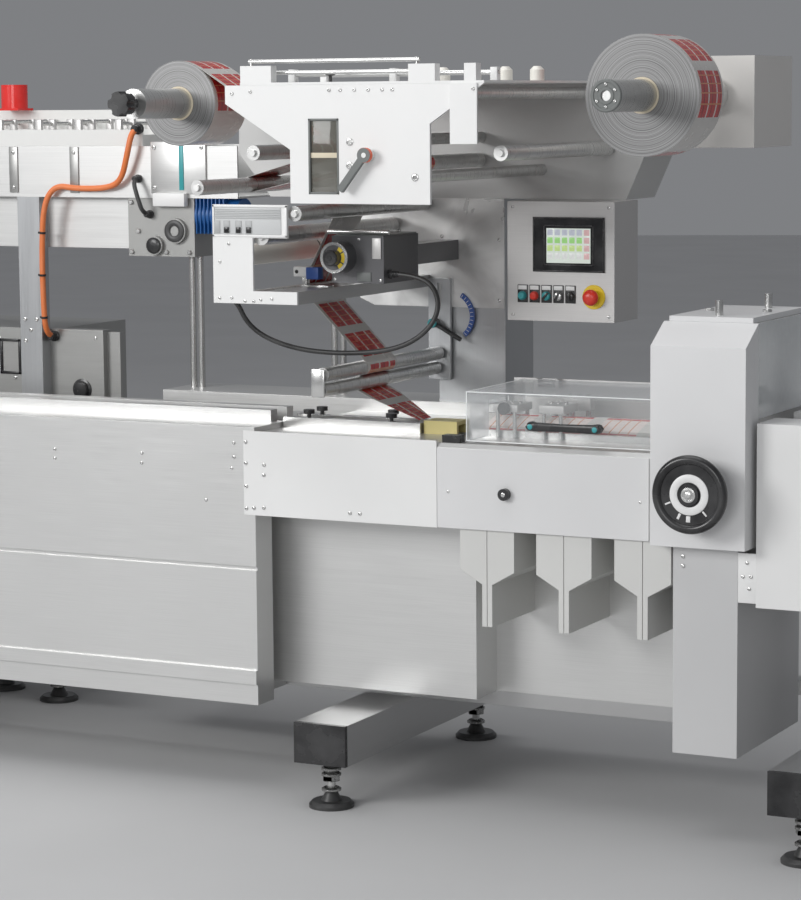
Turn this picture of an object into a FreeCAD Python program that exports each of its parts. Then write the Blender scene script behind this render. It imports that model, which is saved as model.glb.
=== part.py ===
"""Biscuit packaging line: infeed, bed, film unwind, printer, sealing tower and discharge.

Frame: +X is the way the biscuits travel, +Y points away from the operator, +Z is up.
The origin is on the floor under the middle of the line's outline. Lengths in millimetres.
"""
import FreeCAD
import Part
import math
import os
import Sketcher

Vector = FreeCAD.Vector

# Driving sizes. A place along X counts from the white panel's left edge (panel_x), and a
# place along Y counts from the product's centre line (lane_y).
SIZES = {
    # Frame and shared values
    "panel_x": -195.0,
    "lane_y": -215.0,
    "skin": 3.0,
    "seat_gap": 0.3,
    "running_gap": 0.05,
    "film_gap": 0.5,
    "film_thick": 0.8,
    "film_width": 157.0,
    "bend_share": 0.45,
    # Foot beams, feet and rails
    "beam_width": 140.0,
    "beam_height": 100.0,
    "beam_top": 214.0,
    "beam_front": -309.0,
    "beam_rear": 630.0,
    "beam_pitch": 1200.0,
    "beam_main_x": 268.0,
    "beam_infeed_x": -1250.0,
    "cap_thick": 12.0,
    "foot_inset": 59.0,
    "pad_radius": 55.0,
    "pad_thick": 16.0,
    "pad_boss_radius": 26.0,
    "pad_boss_top": 40.0,
    "foot_rod_radius": 10.0,
    "foot_nut_radius": 16.0,
    "foot_nut_height": 14.0,
    "pad_neck": 13.0,
    "rail_width": 60.0,
    "rail_height": 36.0,
    "rail_left": -430.0,
    # Infeed
    "infeed_length": 1590.0,
    "infeed_overlap": 30.0,
    "front_reach": 185.0,
    "infeed_rear": 185.0,
    "cover_top": 906.0,
    "cover_split": 561.0,
    "cover_depth": 80.0,
    "split_gap": 9.0,
    "split_depth": 6.0,
    "ledge_top": 302.0,
    "ledge_bottom": 266.0,
    "ledge_depth": 8.0,
    "trough_half": 25.0,
    "trough_floor": 872.0,
    "lane_rail_width": 32.0,
    "lane_rail_height": 29.0,
    "lane_rail_end": 5.0,
    "chain_half": 10.0,
    "chain_thick": 8.0,
    "pusher_pitch": 190.0,
    "pusher_length": 9.0,
    "pusher_height": 44.0,
    # Bed, panel and door
    "bed_bottom": 690.0,
    "bed_top": 893.0,
    "bed_rear": 350.0,
    "bed_lip_height": 11.0,
    "bed_lip_depth": 7.0,
    "panel_length": 527.0,
    "panel_top": 898.0,
    "door_gap": 1.0,
    "door_length": 538.0,
    "door_top": 882.0,
    "door_drop": 1.0,
    "lock_x": 706.0,
    "lock_height": 780.0,
    "lock_radius": 14.0,
    "lock_reach": 14.0,
    "guide_start": 34.0,
    "guide_end": 414.0,
    "guide_width": 22.0,
    "guide_height": 26.0,
    "knob_radius": 14.0,
    "knob_height": 20.0,
    "knob_stem": 5.0,
    "knob_near_one": 102.0,
    "knob_near_two": 331.0,
    "knob_far_one": 100.0,
    "knob_far_two": 300.0,
    "fold_start": 418.0,
    "fold_length": 89.0,
    "fold_half": 34.0,
    "fold_height": 32.0,
    "fold_wall": 9.0,
    "tube_start": 572.0,
    "tube_half": 19.0,
    "tube_bottom": 910.0,
    "tube_height": 38.0,
    "tube_round": 9.0,
    "track_start": 545.0,
    "track_half": 30.0,
    "latch_x": 537.0,
    "latch_length": 46.0,
    "latch_depth": 28.0,
    "latch_height": 18.0,
    # Clear guard over the sealing rollers
    "guard_left": 600.0,
    "guard_front": -175.0,
    "guard_clear": 6.5,
    "guard_height": 116.5,
    "guard_wall": 6.0,
    "guard_end_gap": 8.0,
    "guard_notch_half": 62.0,
    "guard_notch_drop": 31.0,
    "hinge_y": 166.0,
    "hinge_radius": 5.0,
    "hinge_eye": 10.0,
    "hinge_length": 40.0,
    "leaf_gap": 2.0,
    "ear_gap": 2.0,
    "ear_width": 10.0,
    "hinge_first": 0.12,
    "hinge_second": 0.88,
    "upstand_y": 184.0,
    "upstand_left": 560.0,
    "upstand_thick": 6.0,
    "handle_left": 765.0,
    "handle_length": 186.0,
    "handle_drop": 72.0,
    "handle_half": 12.0,
    "handle_reach": 32.0,
    # Cabinets
    "base_right": 564.0,
    "base_front": -50.0,
    "recess_y": 66.0,
    "rear_left": -559.0,
    "rear_front": 350.0,
    "rear_back": 546.0,
    "rear_top": 926.0,
    "lower_right": 1126.0,
    # Drive housings
    "drive_first": 654.0,
    "drive_pitch": 197.0,
    "drive_count": 3.0,
    "drive_half": 70.0,
    "drive_leg_half": 13.0,
    "drive_shoulder": 593.0,
    "drive_neck": 560.0,
    "drive_bottom": 459.0,
    "drive_front": -180.0,
    "drive_seam": 1.5,
    # Post and sealing tower
    "post_left": 1126.0,
    "post_width": 156.0,
    "post_bottom": 204.0,
    "post_front": -188.0,
    "post_back": 242.0,
    "tower_left": 1087.0,
    "tower_width": 227.0,
    "tower_front": -233.0,
    "tower_back": 205.0,
    "tower_bottom": 690.0,
    "tower_deck": 880.0,
    "tower_slope": 50.0,
    "tower_headroom": 161.0,
    "tower_hood_back": -150.0,
    "tower_wall": 6.0,
    "lid_thick": 12.0,
    "lid_inset": 13.0,
    "stud_radius": 9.0,
    "stud_height": 34.0,
    "stud_first": 0.15,
    "stud_step": 0.7,
    "stud_shift": 30.0,
    "window_bottom": 980.0,
    "jaw_half": 95.0,
    "jaw_radius": 32.0,
    "jaw_lower": 898.0,
    "jaw_gap": 2.0,
    "jaw_y": 0.0,
    "jaw_shaft": 11.0,
    "jaw_block_half": 30.0,
    "jaw_block_low": 24.0,
    "jaw_block_depth": 34.0,
    "jaw_block_start": 110.0,
    "spring_radius": 14.0,
    "spring_length": 55.0,
    "spring_step": 11.0,
    "spring_waist": 3.0,
    "jaw_stud": 7.0,
    # Handwheel
    "wheel_x": 1207.0,
    "wheel_height": 821.0,
    "wheel_radius": 78.0,
    "wheel_rim": 11.0,
    "wheel_face": -300.0,
    "wheel_disc": 7.0,
    "wheel_hub": 24.0,
    "wheel_shaft": 10.0,
    "wheel_boss": 30.0,
    "wheel_boss_depth": 22.0,
    # Discharge
    "discharge_gap": 11.0,
    "discharge_length": 625.0,
    "discharge_bottom": 556.0,
    "discharge_top": 974.0,
    "discharge_back": 205.0,
    "belt_half": 60.0,
    "belt_floor": 890.0,
    "belt_thick": 6.0,
    "bridge_half": 120.0,
    "leg_width": 100.0,
    "leg_front": 60.0,
    "leg_back": 160.0,
    # Column, plate, beam and operator's box
    "frame_y": 373.0,
    "column_left": 262.0,
    "column_width": 188.0,
    "beam_depth": 190.0,
    "plate_left": 20.0,
    "plate_bottom": 1170.0,
    "plate_thick": 6.0,
    "plate_round": 60.0,
    "plate_bevel": 18.0,
    "boat_bottom": 1448.0,
    "boat_top": 1735.0,
    "boat_left": -323.0,
    "boat_left_low": -230.0,
    "boat_left_shoulder": 1560.0,
    "boat_right_low": 780.0,
    "boat_right": 838.0,
    "boat_shoulder": 1576.0,
    "endbox_right": 1113.0,
    "endbox_top": 1798.0,
    "endbox_depth": 275.0,
    "panelbox_left": 525.0,
    "panelbox_width": 286.0,
    "panelbox_bottom": 1154.0,
    "panelbox_front": 223.0,
    "screen_left": 71.0,
    "screen_width": 190.0,
    "screen_low": 122.0,
    "screen_high": 134.0,
    "screen_thick": 5.0,
    "hanger_inset": 60.0,
    "hanger_depth": 60.0,
    "hanger_drop": 70.0,
    "switch_count": 5.0,
    "switch_first": 42.0,
    "switch_pitch": 32.0,
    "switch_low": 62.0,
    "switch_radius": 11.0,
    "switch_reach": 14.0,
    "stop_x": 232.0,
    "stop_disc": 30.0,
    "stop_head": 20.0,
    "stop_reach": 34.0,
    "stop_neck": 10.0,
    "stop_round": 4.0,
    "stop_brim": 12.0,
    "stop_under": 16.0,
    "stop_ring": 3.0,
    "stop_ring_high": 6.0,
    # Front carrier of the film unit
    "cheek_front": -340.0,
    "cheek_thick": 8.0,
    "cheek_top": 1735.0,
    "cheek_bottom": 1460.0,
    "cheek_left": 226.0,
    "cheek_right": 590.0,
    "arm_tip": 53.0,
    "arm_low": 1692.0,
    "arm_join": 1585.0,
    "cheek_right_high": 1644.0,
    "cheek_right_top": 727.0,
    "window_left": 278.0,
    "window_right": 352.0,
    "window_low": 1485.0,
    "window_high": 1654.0,
    "tie_radius": 14.0,
    "tie_one_x": 384.0,
    "tie_one_z": 1603.0,
    "tie_two_x": 552.0,
    "tie_two_z": 1522.0,
    "tie_three_x": 690.0,
    "tie_three_z": 1712.0,
    "deck_thick": 6.0,
    "deck_left": 94.0,
    "deck_seat": 60.0,
    "deck_block_height": 39.0,
    "deck_block_depth": 26.0,
    "deck_block_one": 95.0,
    "deck_block_one_length": 83.0,
    "deck_block_two": 536.0,
    "deck_block_two_length": 68.0,
    "deck_block_three": 677.0,
    "deck_block_three_length": 30.0,
    "dome_radius": 17.0,
    "dome_height": 34.0,
    "dome_first": 460.0,
    "dome_pitch": 82.0,
    "dome_count": 4.0,
    "dome_y": 0.0,
    "hook_left": 643.0,
    "hook_right": 711.0,
    "hook_low": 1598.0,
    "hook_thick": 5.0,
    "lever_x": 434.0,
    "lever_height": 1573.0,
    "lever_radius": 17.0,
    "lever_tip_x": 370.0,
    "lever_tip_z": 1492.0,
    "lever_side_x": 6.3,
    "lever_side_z": 5.0,
    "lever_pin": 6.0,
    "lever_depth": 12.0,
    "lever_seat_radius": 14.0,
    "lever_boss": 16.0,
    # Reels
    "left_reel_x": -233.0,
    "left_reel_z": 1694.0,
    "left_reel_radius": 105.0,
    "right_reel_x": 1003.0,
    "right_reel_z": 1704.0,
    "right_reel_radius": 140.0,
    "core_radius": 42.0,
    "core_wall": 5.0,
    "core_proud": 2.0,
    "reel_neck": 15.0,
    "reel_front": -290.0,
    "reel_back": 96.0,
    "bearing_radius": 42.0,
    "bearing_depth": 30.0,
    "star_radius": 30.0,
    "star_depth": 34.0,
    "star_lobes": 5.0,
    "star_groove": 10.0,
    "star_groove_ring": 34.0,
    # Guide rollers
    "roller_radius": 18.0,
    "axle_radius": 8.0,
    "axle_tip": 6.0,
    "roller_front": -326.0,
    "roller_a_x": 119.0,
    "roller_a_z": 1577.0,
    "roller_b_x": -36.0,
    "roller_b_z": 1494.0,
    "roller_c_x": 229.0,
    "roller_c_z": 1435.0,
    "roller_d_x": 735.0,
    "roller_d_z": 1576.0,
    "roller_d_front": -270.0,
    "roller_e_x": 384.0,
    "roller_e_z": 1546.0,
    "roller_f_x": 138.0,
    "roller_f_z": 1380.0,
    "roller_f_radius": 20.0,
    "roller_g_x": 272.0,
    "roller_g_z": 1053.0,
    "roller_h_x": 265.0,
    "roller_h_z": 1015.0,
    "pair_front": -280.0,
    "axle_bare": 12.0,
    "pair_roller": 17.0,
    "bracket_left": 240.0,
    "bracket_width": 62.0,
    "bracket_low": 985.0,
    "bracket_high": 1244.0,
    "bracket_thick": 10.0,
    "slot_half": 6.0,
    "slot_length": 62.0,
    # Printer
    "printer_front": -340.0,
    "printer_thick": 6.0,
    "printer_left": 13.0,
    "printer_right": 216.0,
    "printer_low": 1222.0,
    "printer_high": 1456.0,
    "printer_step_x": 122.0,
    "printer_step_z": 1378.0,
    "printer_bed_right": 240.0,
    "printer_bed_thick": 30.0,
    "head_left": 232.0,
    "head_right": 372.0,
    "head_low": 1263.0,
    "head_high": 1376.0,
    "head_front": -150.0,
    "head_back": 35.0,
    "arm_inset": 30.0,
    "arm_width": 60.0,
    "arm_height": 50.0,
    "ribbon_x": 262.0,
    "ribbon_z": 1326.0,
    "ribbon_radius": 38.0,
    "ribbon_front": -215.0,
    "print_roller_x": 62.0,
    "print_roller_z": 1333.0,
    "print_roller_radius": 26.0,
    "print_roller_back": 75.0,
    "turn_x": 120.0,
    "turn_z": 1244.0,
    "turn_radius": 10.0,
    "shelf_gap": 30.0,
    "film_end_gap": 12.0,
    "film_end_width": 52.0,
    "taper_gap": 14.0,
    # Feeder behind the infeed
    "feeder_left": -1560.0,
    "feeder_right": -805.0,
    "feeder_front": 440.0,
    "feeder_back": 800.0,
    "feeder_low": 214.0,
    "feeder_high": 1072.0,
    "feeder_lip": 42.0,
    "feeder_panel": 40.0,
    "feeder_body_right": -960.0,
    "leg_x": -1052.0,
    "feeder_leg_width": 72.0,
    "feeder_leg_low": 214.0,
    "feeder_leg_depth": 40.0,
    "hopper_front": 400.0,
    "hopper_back": 700.0,
    "hopper_low": 1300.0,
    "hopper_high": 1440.0,
    "hopper_right": -693.0,
    "channel_right": -345.0,
    "channel_high": 1580.0,
    "channel_wall": 5.0,
    "lane_table_right": -640.0,
    "lane_table_thick": 30.0,
    "lane_count": 4.0,
    "lane_wall": 6.0,
    "lane_wall_height": 67.0,
    "lane_rib_height": 14.0,
    "beacon_x": -1233.0,
    "beacon_radius": 38.0,
    "beacon_height": 67.0,
    "beacon_plate": 6.0,
    "gear_right": -484.0,
    "gear_low": 1282.0,
    "gear_face": 12.0,
    "gear_cap_x": -606.0,
    "gear_cap_z": 1312.0,
    "gear_cap_radius": 26.0,
    "gear_ring_x": -540.0,
    "gear_ring_z": 1352.0,
    "gear_ring_radius": 34.0,
    "motor_radius": 46.0,
    "motor_length": 130.0,
    "prop_radius": 9.0,
    "prop_gap": 26.0,
    "prop_one_x": -520.0,
    "prop_two_x": -84.0,
    "prop_y": 450.0,
}

# Each hose: its radius, and its way as points that count like the sizes above
HOSES = {
    "printer_hose": (
        6.0,
        [
            (28.0, -334.0, 1238.0),
            (28.0, -270.0, 1238.0),
            (50.0, -236.0, 1152.0),
            (150.0, -212.0, 1106.0),
            (295.0, -200.0, 1096.0),
            (436.0, -190.0, 1112.0),
            (512.0, -172.0, 1166.0),
            (522.0, -150.0, 1232.0),
            (462.0, -120.0, 1285.0),
            (372.0, -120.0, 1285.0),
        ],
    ),
    "feeder_cable": (
        8.0,
        [
            (-652.0, 400.0, 1626.0),
            (-652.0, 368.0, 1626.0),
            (-668.0, 366.0, 1560.0),
            (-694.0, 376.0, 1488.0),
            (-742.0, 382.0, 1466.0),
            (-846.0, 384.0, 1464.0),
            (-912.0, 382.0, 1474.0),
            (-950.0, 378.0, 1424.0),
            (-962.0, 382.0, 1300.0),
            (-964.0, 386.0, 1160.0),
            (-964.0, 394.0, 1052.0),
            (-964.0, 440.0, 1052.0),
        ],
    ),
    "gear_hose": (
        6.0,
        [
            (-654.0, 400.0, 1492.0),
            (-654.0, 368.0, 1492.0),
            (-636.0, 362.0, 1444.0),
            (-622.0, 368.0, 1396.0),
            (-622.0, 405.0, 1396.0),
        ],
    ),
}
for hose, (thickness, way) in HOSES.items():
    SIZES[f"{hose}_radius"] = thickness
    for i, spot in enumerate(way):
        for axis, number in zip("xyz", spot):
            SIZES[f"{hose}_{axis}_{i}"] = number

doc = FreeCAD.newDocument("PackagingLine")
sheet = doc.addObject("Spreadsheet::Sheet", "Sizes")
for row, (alias, number) in enumerate(SIZES.items(), start=1):
    sheet.set(f"A{row}", alias)
    sheet.set(f"B{row}", str(number))
    sheet.setAlias(f"B{row}", alias)
doc.recompute()


class Term:
    """A length that the document works out: its expression and its value now."""

    def __init__(self, text, value):
        self.text = text
        self.value = value

    def __add__(self, other):
        other = term(other)
        return Term(f"({self.text} + {other.text})", self.value + other.value)

    def __radd__(self, other):
        return term(other) + self

    def __sub__(self, other):
        other = term(other)
        return Term(f"({self.text} - {other.text})", self.value - other.value)

    def __rsub__(self, other):
        return term(other) - self

    def __mul__(self, other):
        other = term(other)
        return Term(f"({self.text} * {other.text})", self.value * other.value)

    def __rmul__(self, other):
        return term(other) * self

    def __truediv__(self, other):
        other = term(other)
        return Term(f"({self.text} / {other.text})", self.value / other.value)

    def __neg__(self):
        return Term(f"(0 - {self.text})", -self.value)


def term(value):
    """A Term as it is, or a plain number as a Term."""
    return value if isinstance(value, Term) else Term(repr(float(value)), float(value))


class Sheet:
    """The sheet's cells by name: s.skin is the cell called skin."""

    def __getattr__(self, name):
        return Term(f"Sizes.{name}", float(SIZES[name]))


s = Sheet()


def along(place):
    """A place along X, counted from the white panel's left edge."""
    return s.panel_x + place


def across(place):
    """A place along Y, counted from the product's centre line."""
    return s.lane_y + place


TURNS = {
    "X": FreeCAD.Rotation(Vector(0, 1, 0), 90),
    "Y": FreeCAD.Rotation(Vector(1, 0, 0), -90),
    "Z": FreeCAD.Rotation(),
}
nodes = {}


def keep(item, label):
    """Make an object a sub-part: its label names its file."""
    item.Label = label
    nodes[label] = item
    return item


def place(item, spot, turn="Z"):
    """Bind an object's place to the sizes and turn its own Z axis."""
    item.Placement = FreeCAD.Placement(Vector(), TURNS[turn])
    for letter, value in zip("xyz", spot):
        item.setExpression(f"Placement.Base.{letter}", term(value).text)
    return item


def block(name, x, y, z):
    """A rectangular block between two places on each axis."""
    box = doc.addObject("Part::Box", name)
    place(box, (x[0], y[0], z[0]))
    for side, (low, high) in zip(("Length", "Width", "Height"), (x, y, z)):
        box.setExpression(side, (high - low).text)
    return box


def bar(name, turn, spot, radius, length):
    """A round bar that starts at spot and runs along +X, +Y or +Z."""
    rod = doc.addObject("Part::Cylinder", name)
    rod.setExpression("Radius", term(radius).text)
    rod.setExpression("Height", term(length).text)
    return place(rod, spot, turn)


def origin_plane(body, role):
    """The body's own origin plane."""
    return next(f for f in body.Origin.OriginFeatures if f.Role == role)


def bind(sketch, kind, *where):
    """Add one dimension to a sketch, bound to the sheet."""
    value = term(where[-1])
    index = sketch.addConstraint(Sketcher.Constraint(kind, *where[:-1], value.value))
    sketch.setExpression(f"Constraints[{index}]", value.text)


def draw_loop(sketch, points):
    """A closed outline of straight edges, each corner held by two dimensions."""
    first = sketch.GeometryCount
    corners = [Vector(term(a).value, term(b).value, 0) for a, b in points]
    total = len(points)
    for i in range(total):
        sketch.addGeometry(Part.LineSegment(corners[i], corners[(i + 1) % total]))
    for i in range(total):
        follower = first + (i + 1) % total
        sketch.addConstraint(Sketcher.Constraint("Coincident", first + i, 2, follower, 1))
    for i, (a, b) in enumerate(points):
        bind(sketch, "DistanceX", first + i, 1, a)
        bind(sketch, "DistanceY", first + i, 1, b)


def draw_circle(sketch, a, b, radius):
    """A full circle held by its centre and radius."""
    centre = Vector(term(a).value, term(b).value, 0)
    index = sketch.addGeometry(Part.Circle(centre, Vector(0, 0, 1), term(radius).value))
    bind(sketch, "DistanceX", index, 3, a)
    bind(sketch, "DistanceY", index, 3, b)
    bind(sketch, "Radius", index, radius)


def profile(name, plane, outline, start, stop, holes=(), circles=()):
    """A body padded from an outline: XZ runs along Y, YZ along X and XY along Z."""
    body = doc.addObject("PartDesign::Body", name)
    sketch = body.newObject("Sketcher::SketchObject", f"{name}_outline")
    sketch.AttachmentSupport = (origin_plane(body, f"{plane}_Plane"), [""])
    sketch.MapMode = "FlatFace"
    height = -stop if plane == "XZ" else start
    sketch.setExpression("AttachmentOffset.Base.z", height.text)
    draw_loop(sketch, outline)
    for loop in holes:
        draw_loop(sketch, loop)
    for circle in circles:
        draw_circle(sketch, *circle)
    pad = body.newObject("PartDesign::Pad", f"{name}_pad")
    pad.Profile = sketch
    pad.setExpression("Length", (stop - start).text)
    return body


def turned(name, outline, spot, turn):
    """A body turned from an outline of (radius, distance along its axis)."""
    body = doc.addObject("PartDesign::Body", name)
    sketch = body.newObject("Sketcher::SketchObject", f"{name}_outline")
    sketch.AttachmentSupport = (origin_plane(body, "XZ_Plane"), [""])
    sketch.MapMode = "FlatFace"
    draw_loop(sketch, outline)
    spin = body.newObject("PartDesign::Revolution", f"{name}_turn")
    spin.Profile = sketch
    spin.ReferenceAxis = (sketch, ["V_Axis"])
    spin.Angle = 360.0
    return place(body, spot, turn)


def fuse(name, *items):
    """Several solids joined to one."""
    joined = doc.addObject("Part::MultiFuse", name)
    joined.Shapes = list(items)
    joined.Refine = True
    return joined


def cut(name, base, *tools):
    """One solid with others taken away."""
    tool = tools[0] if len(tools) == 1 else fuse(f"{name}_tools", *tools)
    result = doc.addObject("Part::Cut", name)
    result.Base = base
    result.Tool = tool
    return result


def group(name, items):
    """Like pieces that don't touch, kept together in one node."""
    together = doc.addObject("Part::Compound", name)
    together.Links = list(items)
    return together


# Shared places
front = across(-s.front_reach)
panel_face = front - s.skin
infeed_right = along(s.infeed_overlap)
infeed_left = infeed_right - s.infeed_length
base_left = along(-s.infeed_overlap)
panel_right = along(s.panel_length)
door_left = panel_right + s.door_gap
door_right = door_left + s.door_length
tower_left = along(s.tower_left)
tower_right = tower_left + s.tower_width
discharge_left = tower_right + s.discharge_gap
discharge_right = discharge_left + s.discharge_length
frame_face = across(s.frame_y)
frame_back = frame_face + s.beam_depth
rail_top = s.beam_top + s.rail_height
main_beam = along(s.beam_main_x)
right_beam = main_beam + s.beam_pitch
infeed_beam = along(s.beam_infeed_x)
guard_foot = s.bed_top + s.guard_clear
guard_top = guard_foot + s.guard_height
upper_axis = s.jaw_lower + s.jaw_radius * 2 + s.tube_height + s.jaw_gap
tower_top = upper_axis + s.jaw_radius + s.tower_headroom
tower_face_top = tower_top - s.tower_slope


# Foot beams, end caps, rails and levelling feet
def foot_beam(label, centre):
    """One cross beam with its two end caps."""
    half = s.beam_width / 2
    sides = (centre - half, centre + half)
    heights = (s.beam_top - s.beam_height, s.beam_top)
    ends = (across(s.beam_front) + s.cap_thick, across(s.beam_rear) - s.cap_thick)
    beams.append(block(label, sides, ends, heights))
    fore = block(f"{label}_cap_front", sides, (across(s.beam_front), ends[0]), heights)
    aft = block(f"{label}_cap_rear", sides, (ends[1], across(s.beam_rear)), heights)
    return [fore, aft]


beams = []
caps = foot_beam("infeed_foot_beam", infeed_beam)
caps += foot_beam("left_foot_beam", main_beam)
caps += foot_beam("right_foot_beam", right_beam)
keep(group("caps", caps), "beam_end_caps")

foot_spots = []
for centre in (infeed_beam, main_beam, right_beam):
    foot_spots.append((centre, across(s.beam_front) + s.foot_inset, s.beam_top - s.beam_height))
    foot_spots.append((centre, across(s.beam_rear) - s.foot_inset, s.beam_top - s.beam_height))
for x_place in (along(s.feeder_left) + s.foot_inset, along(s.feeder_body_right) - s.foot_inset):
    for y_place in (across(s.feeder_front) + s.foot_inset, across(s.feeder_back) - s.foot_inset):
        foot_spots.append((x_place, y_place, s.feeder_low))

pads = []
rods = []
for i, (x_place, y_place, top) in enumerate(foot_spots):
    pad_outline = [
        (0, 0),
        (s.pad_radius, 0),
        (s.pad_radius, s.pad_thick / 2),
        (s.pad_radius - s.pad_thick / 2, s.pad_thick),
        (s.pad_boss_radius, s.pad_thick),
        (s.pad_neck, s.pad_boss_top),
        (0, s.pad_boss_top),
    ]
    pads.append(turned(f"foot_pad_{i}", pad_outline, (x_place, y_place, 0), "Z"))
    nut_low = (s.pad_boss_top + top) / 2
    rod_outline = [
        (0, s.pad_boss_top),
        (s.foot_rod_radius, s.pad_boss_top),
        (s.foot_rod_radius, nut_low),
        (s.foot_nut_radius, nut_low),
        (s.foot_nut_radius, nut_low + s.foot_nut_height),
        (s.foot_rod_radius, nut_low + s.foot_nut_height),
        (s.foot_rod_radius, top),
        (0, top),
    ]
    rods.append(turned(f"foot_rod_{i}", rod_outline, (x_place, y_place, 0), "Z"))
keep(group("pads", pads), "foot_pads")
keep(group("foot_screws", rods), "foot_screws")

recess_face = across(s.recess_y)
lower_right = along(s.lower_right)
rear_rail_back = across(s.rear_back)
beam_right_side = right_beam + s.beam_width / 2
front_rail = block(
    "front_rail",
    (base_left, lower_right),
    (recess_face, recess_face + s.rail_width),
    (s.beam_top, rail_top),
)
rear_rail = block(
    "rear_rail",
    (along(s.rail_left), beam_right_side),
    (rear_rail_back - s.rail_width, rear_rail_back),
    (s.beam_top, rail_top),
)
leg_half = s.leg_width / 2
discharge_leg = block(
    "discharge_leg",
    (right_beam - leg_half, right_beam + leg_half),
    (across(s.leg_front), across(s.leg_back)),
    (s.beam_top, s.discharge_bottom),
)
infeed_tube = beams.pop(0)
main_frame = fuse("main_frame", *beams, front_rail, rear_rail, discharge_leg)
keep(group("frames", [infeed_tube, main_frame]), "base_frame")


# Infeed conveyor
def trough(top, floor):
    """The lane's groove in a top surface, from its far side to its near side."""
    return [
        (across(s.trough_half), top),
        (across(s.trough_half), floor),
        (across(-s.trough_half), floor),
        (across(-s.trough_half), top),
    ]


def cover_face(top, back):
    """The front cover's outline with its seam and ledge, closed along a back line."""
    return [
        (front, top),
        (front, s.cover_split),
        (front + s.split_depth, s.cover_split),
        (front + s.split_depth, s.cover_split - s.split_gap),
        (front, s.cover_split - s.split_gap),
        (front, s.ledge_top),
        (front - s.ledge_depth, s.ledge_top),
        (front - s.ledge_depth, s.ledge_bottom),
        (front, s.ledge_bottom),
        (front, s.beam_top),
        (back, s.beam_top),
        (back, top),
    ]


infeed_back = across(s.infeed_rear)
infeed_outline = cover_face(s.cover_top, infeed_back) + trough(s.cover_top, s.trough_floor)
bridge_outline = [
    (front, s.bed_bottom),
    (infeed_back, s.bed_bottom),
    (infeed_back, s.cover_top),
] + trough(s.cover_top, s.trough_floor) + [(front, s.cover_top)]
skirt_outline = cover_face(s.bed_bottom, front + s.cover_depth)
keep(
    fuse(
        "infeed_whole",
        profile("infeed", "YZ", infeed_outline, infeed_left, base_left),
        profile("infeed_bridge", "YZ", bridge_outline, base_left, infeed_right),
        profile("infeed_skirt", "YZ", skirt_outline, base_left, infeed_right),
    ),
    "infeed_body",
)

lane_rails = []
for side in (-1, 1):
    inner = across(side * s.trough_half)
    outer = inner + side * s.lane_rail_width
    near, far = (outer, inner) if side < 0 else (inner, outer)
    x_span = (infeed_left, along(s.lane_rail_end))
    z_span = (s.cover_top, s.cover_top + s.lane_rail_height)
    lane_rails.append(block(f"lane_rail_{side}", x_span, (near, far), z_span))
keep(group("lane_rail_pair", lane_rails), "infeed_rails")

chain_low = s.trough_floor + s.seat_gap
chain_high = chain_low + s.chain_thick
chain_sides = (across(-s.chain_half), across(s.chain_half))
strap = block(
    "strap",
    (infeed_left + s.skin, along(s.lane_rail_end)),
    chain_sides,
    (chain_low, chain_high),
)
pushers = [strap]
lane_run = SIZES["infeed_length"] - SIZES["infeed_overlap"] + SIZES["lane_rail_end"]
for i in range(int(lane_run / SIZES["pusher_pitch"])):
    start = infeed_left + s.pusher_pitch * (i + 0.5)
    height = (chain_low, chain_high + s.pusher_height)
    pushers.append(block(f"pusher_{i}", (start, start + s.pusher_length), chain_sides, height))
keep(fuse("chain", *pushers), "infeed_chain")

# Bed with its front panel and door
bed_outline = [
    (front, s.bed_bottom),
    (across(s.bed_rear), s.bed_bottom),
    (across(s.bed_rear), s.bed_top),
] + trough(s.bed_top, s.trough_floor) + [
    (front + s.bed_lip_depth, s.bed_top),
    (front, s.bed_top - s.bed_lip_height),
]
keep(profile("bed", "YZ", bed_outline, infeed_right, tower_left), "bed_body")
keep(
    block("panel", (along(0), panel_right), (panel_face, front), (s.bed_bottom, s.panel_top)),
    "front_panel",
)
door_heights = (s.bed_bottom + s.door_drop, s.door_top)
keep(block("door", (door_left, door_right), (panel_face, front), door_heights), "sealing_door")
lock_spot = (along(s.lock_x), panel_face - s.lock_reach, s.lock_height)

guides = []
knobs = [bar("lock", "Y", lock_spot, s.lock_radius, s.lock_reach)]
for side in (-1, 1):
    inner = across(side * s.trough_half)
    outer = inner + side * s.guide_width
    near, far = (outer, inner) if side < 0 else (inner, outer)
    x_span = (along(s.guide_start), along(s.guide_end))
    z_span = (s.bed_top, s.bed_top + s.guide_height)
    guides.append(block(f"guide_{side}", x_span, (near, far), z_span))
    middle = (near + far) / 2
    knob_places = (s.knob_near_one, s.knob_near_two) if side < 0 else (s.knob_far_one, s.knob_far_two)
    for j, knob_place in enumerate(knob_places):
        stem = s.knob_height / 2
        knob_outline = [
            (0, 0),
            (s.knob_stem, 0),
            (s.knob_stem, stem),
            (s.knob_radius, stem),
            (s.knob_radius, s.knob_height),
            (0, s.knob_height),
        ]
        spot = (along(knob_place), middle, s.bed_top + s.guide_height)
        knobs.append(turned(f"knob_{side}_{j}", knob_outline, spot, "Z"))

fold_right = along(s.fold_start) + s.fold_length
fold_inner = s.fold_half - s.fold_wall
fold_outline = [
    (across(-s.fold_half), s.bed_top),
    (across(-fold_inner), s.bed_top),
    (across(-fold_inner), s.bed_top + s.fold_height - s.fold_wall),
    (across(fold_inner), s.bed_top + s.fold_height - s.fold_wall),
    (across(fold_inner), s.bed_top),
    (across(s.fold_half), s.bed_top),
    (across(s.fold_half), s.bed_top + s.fold_height),
    (across(-s.fold_half), s.bed_top + s.fold_height),
]
keep(profile("former", "YZ", fold_outline, along(s.fold_start), fold_right), "folding_box")

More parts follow.
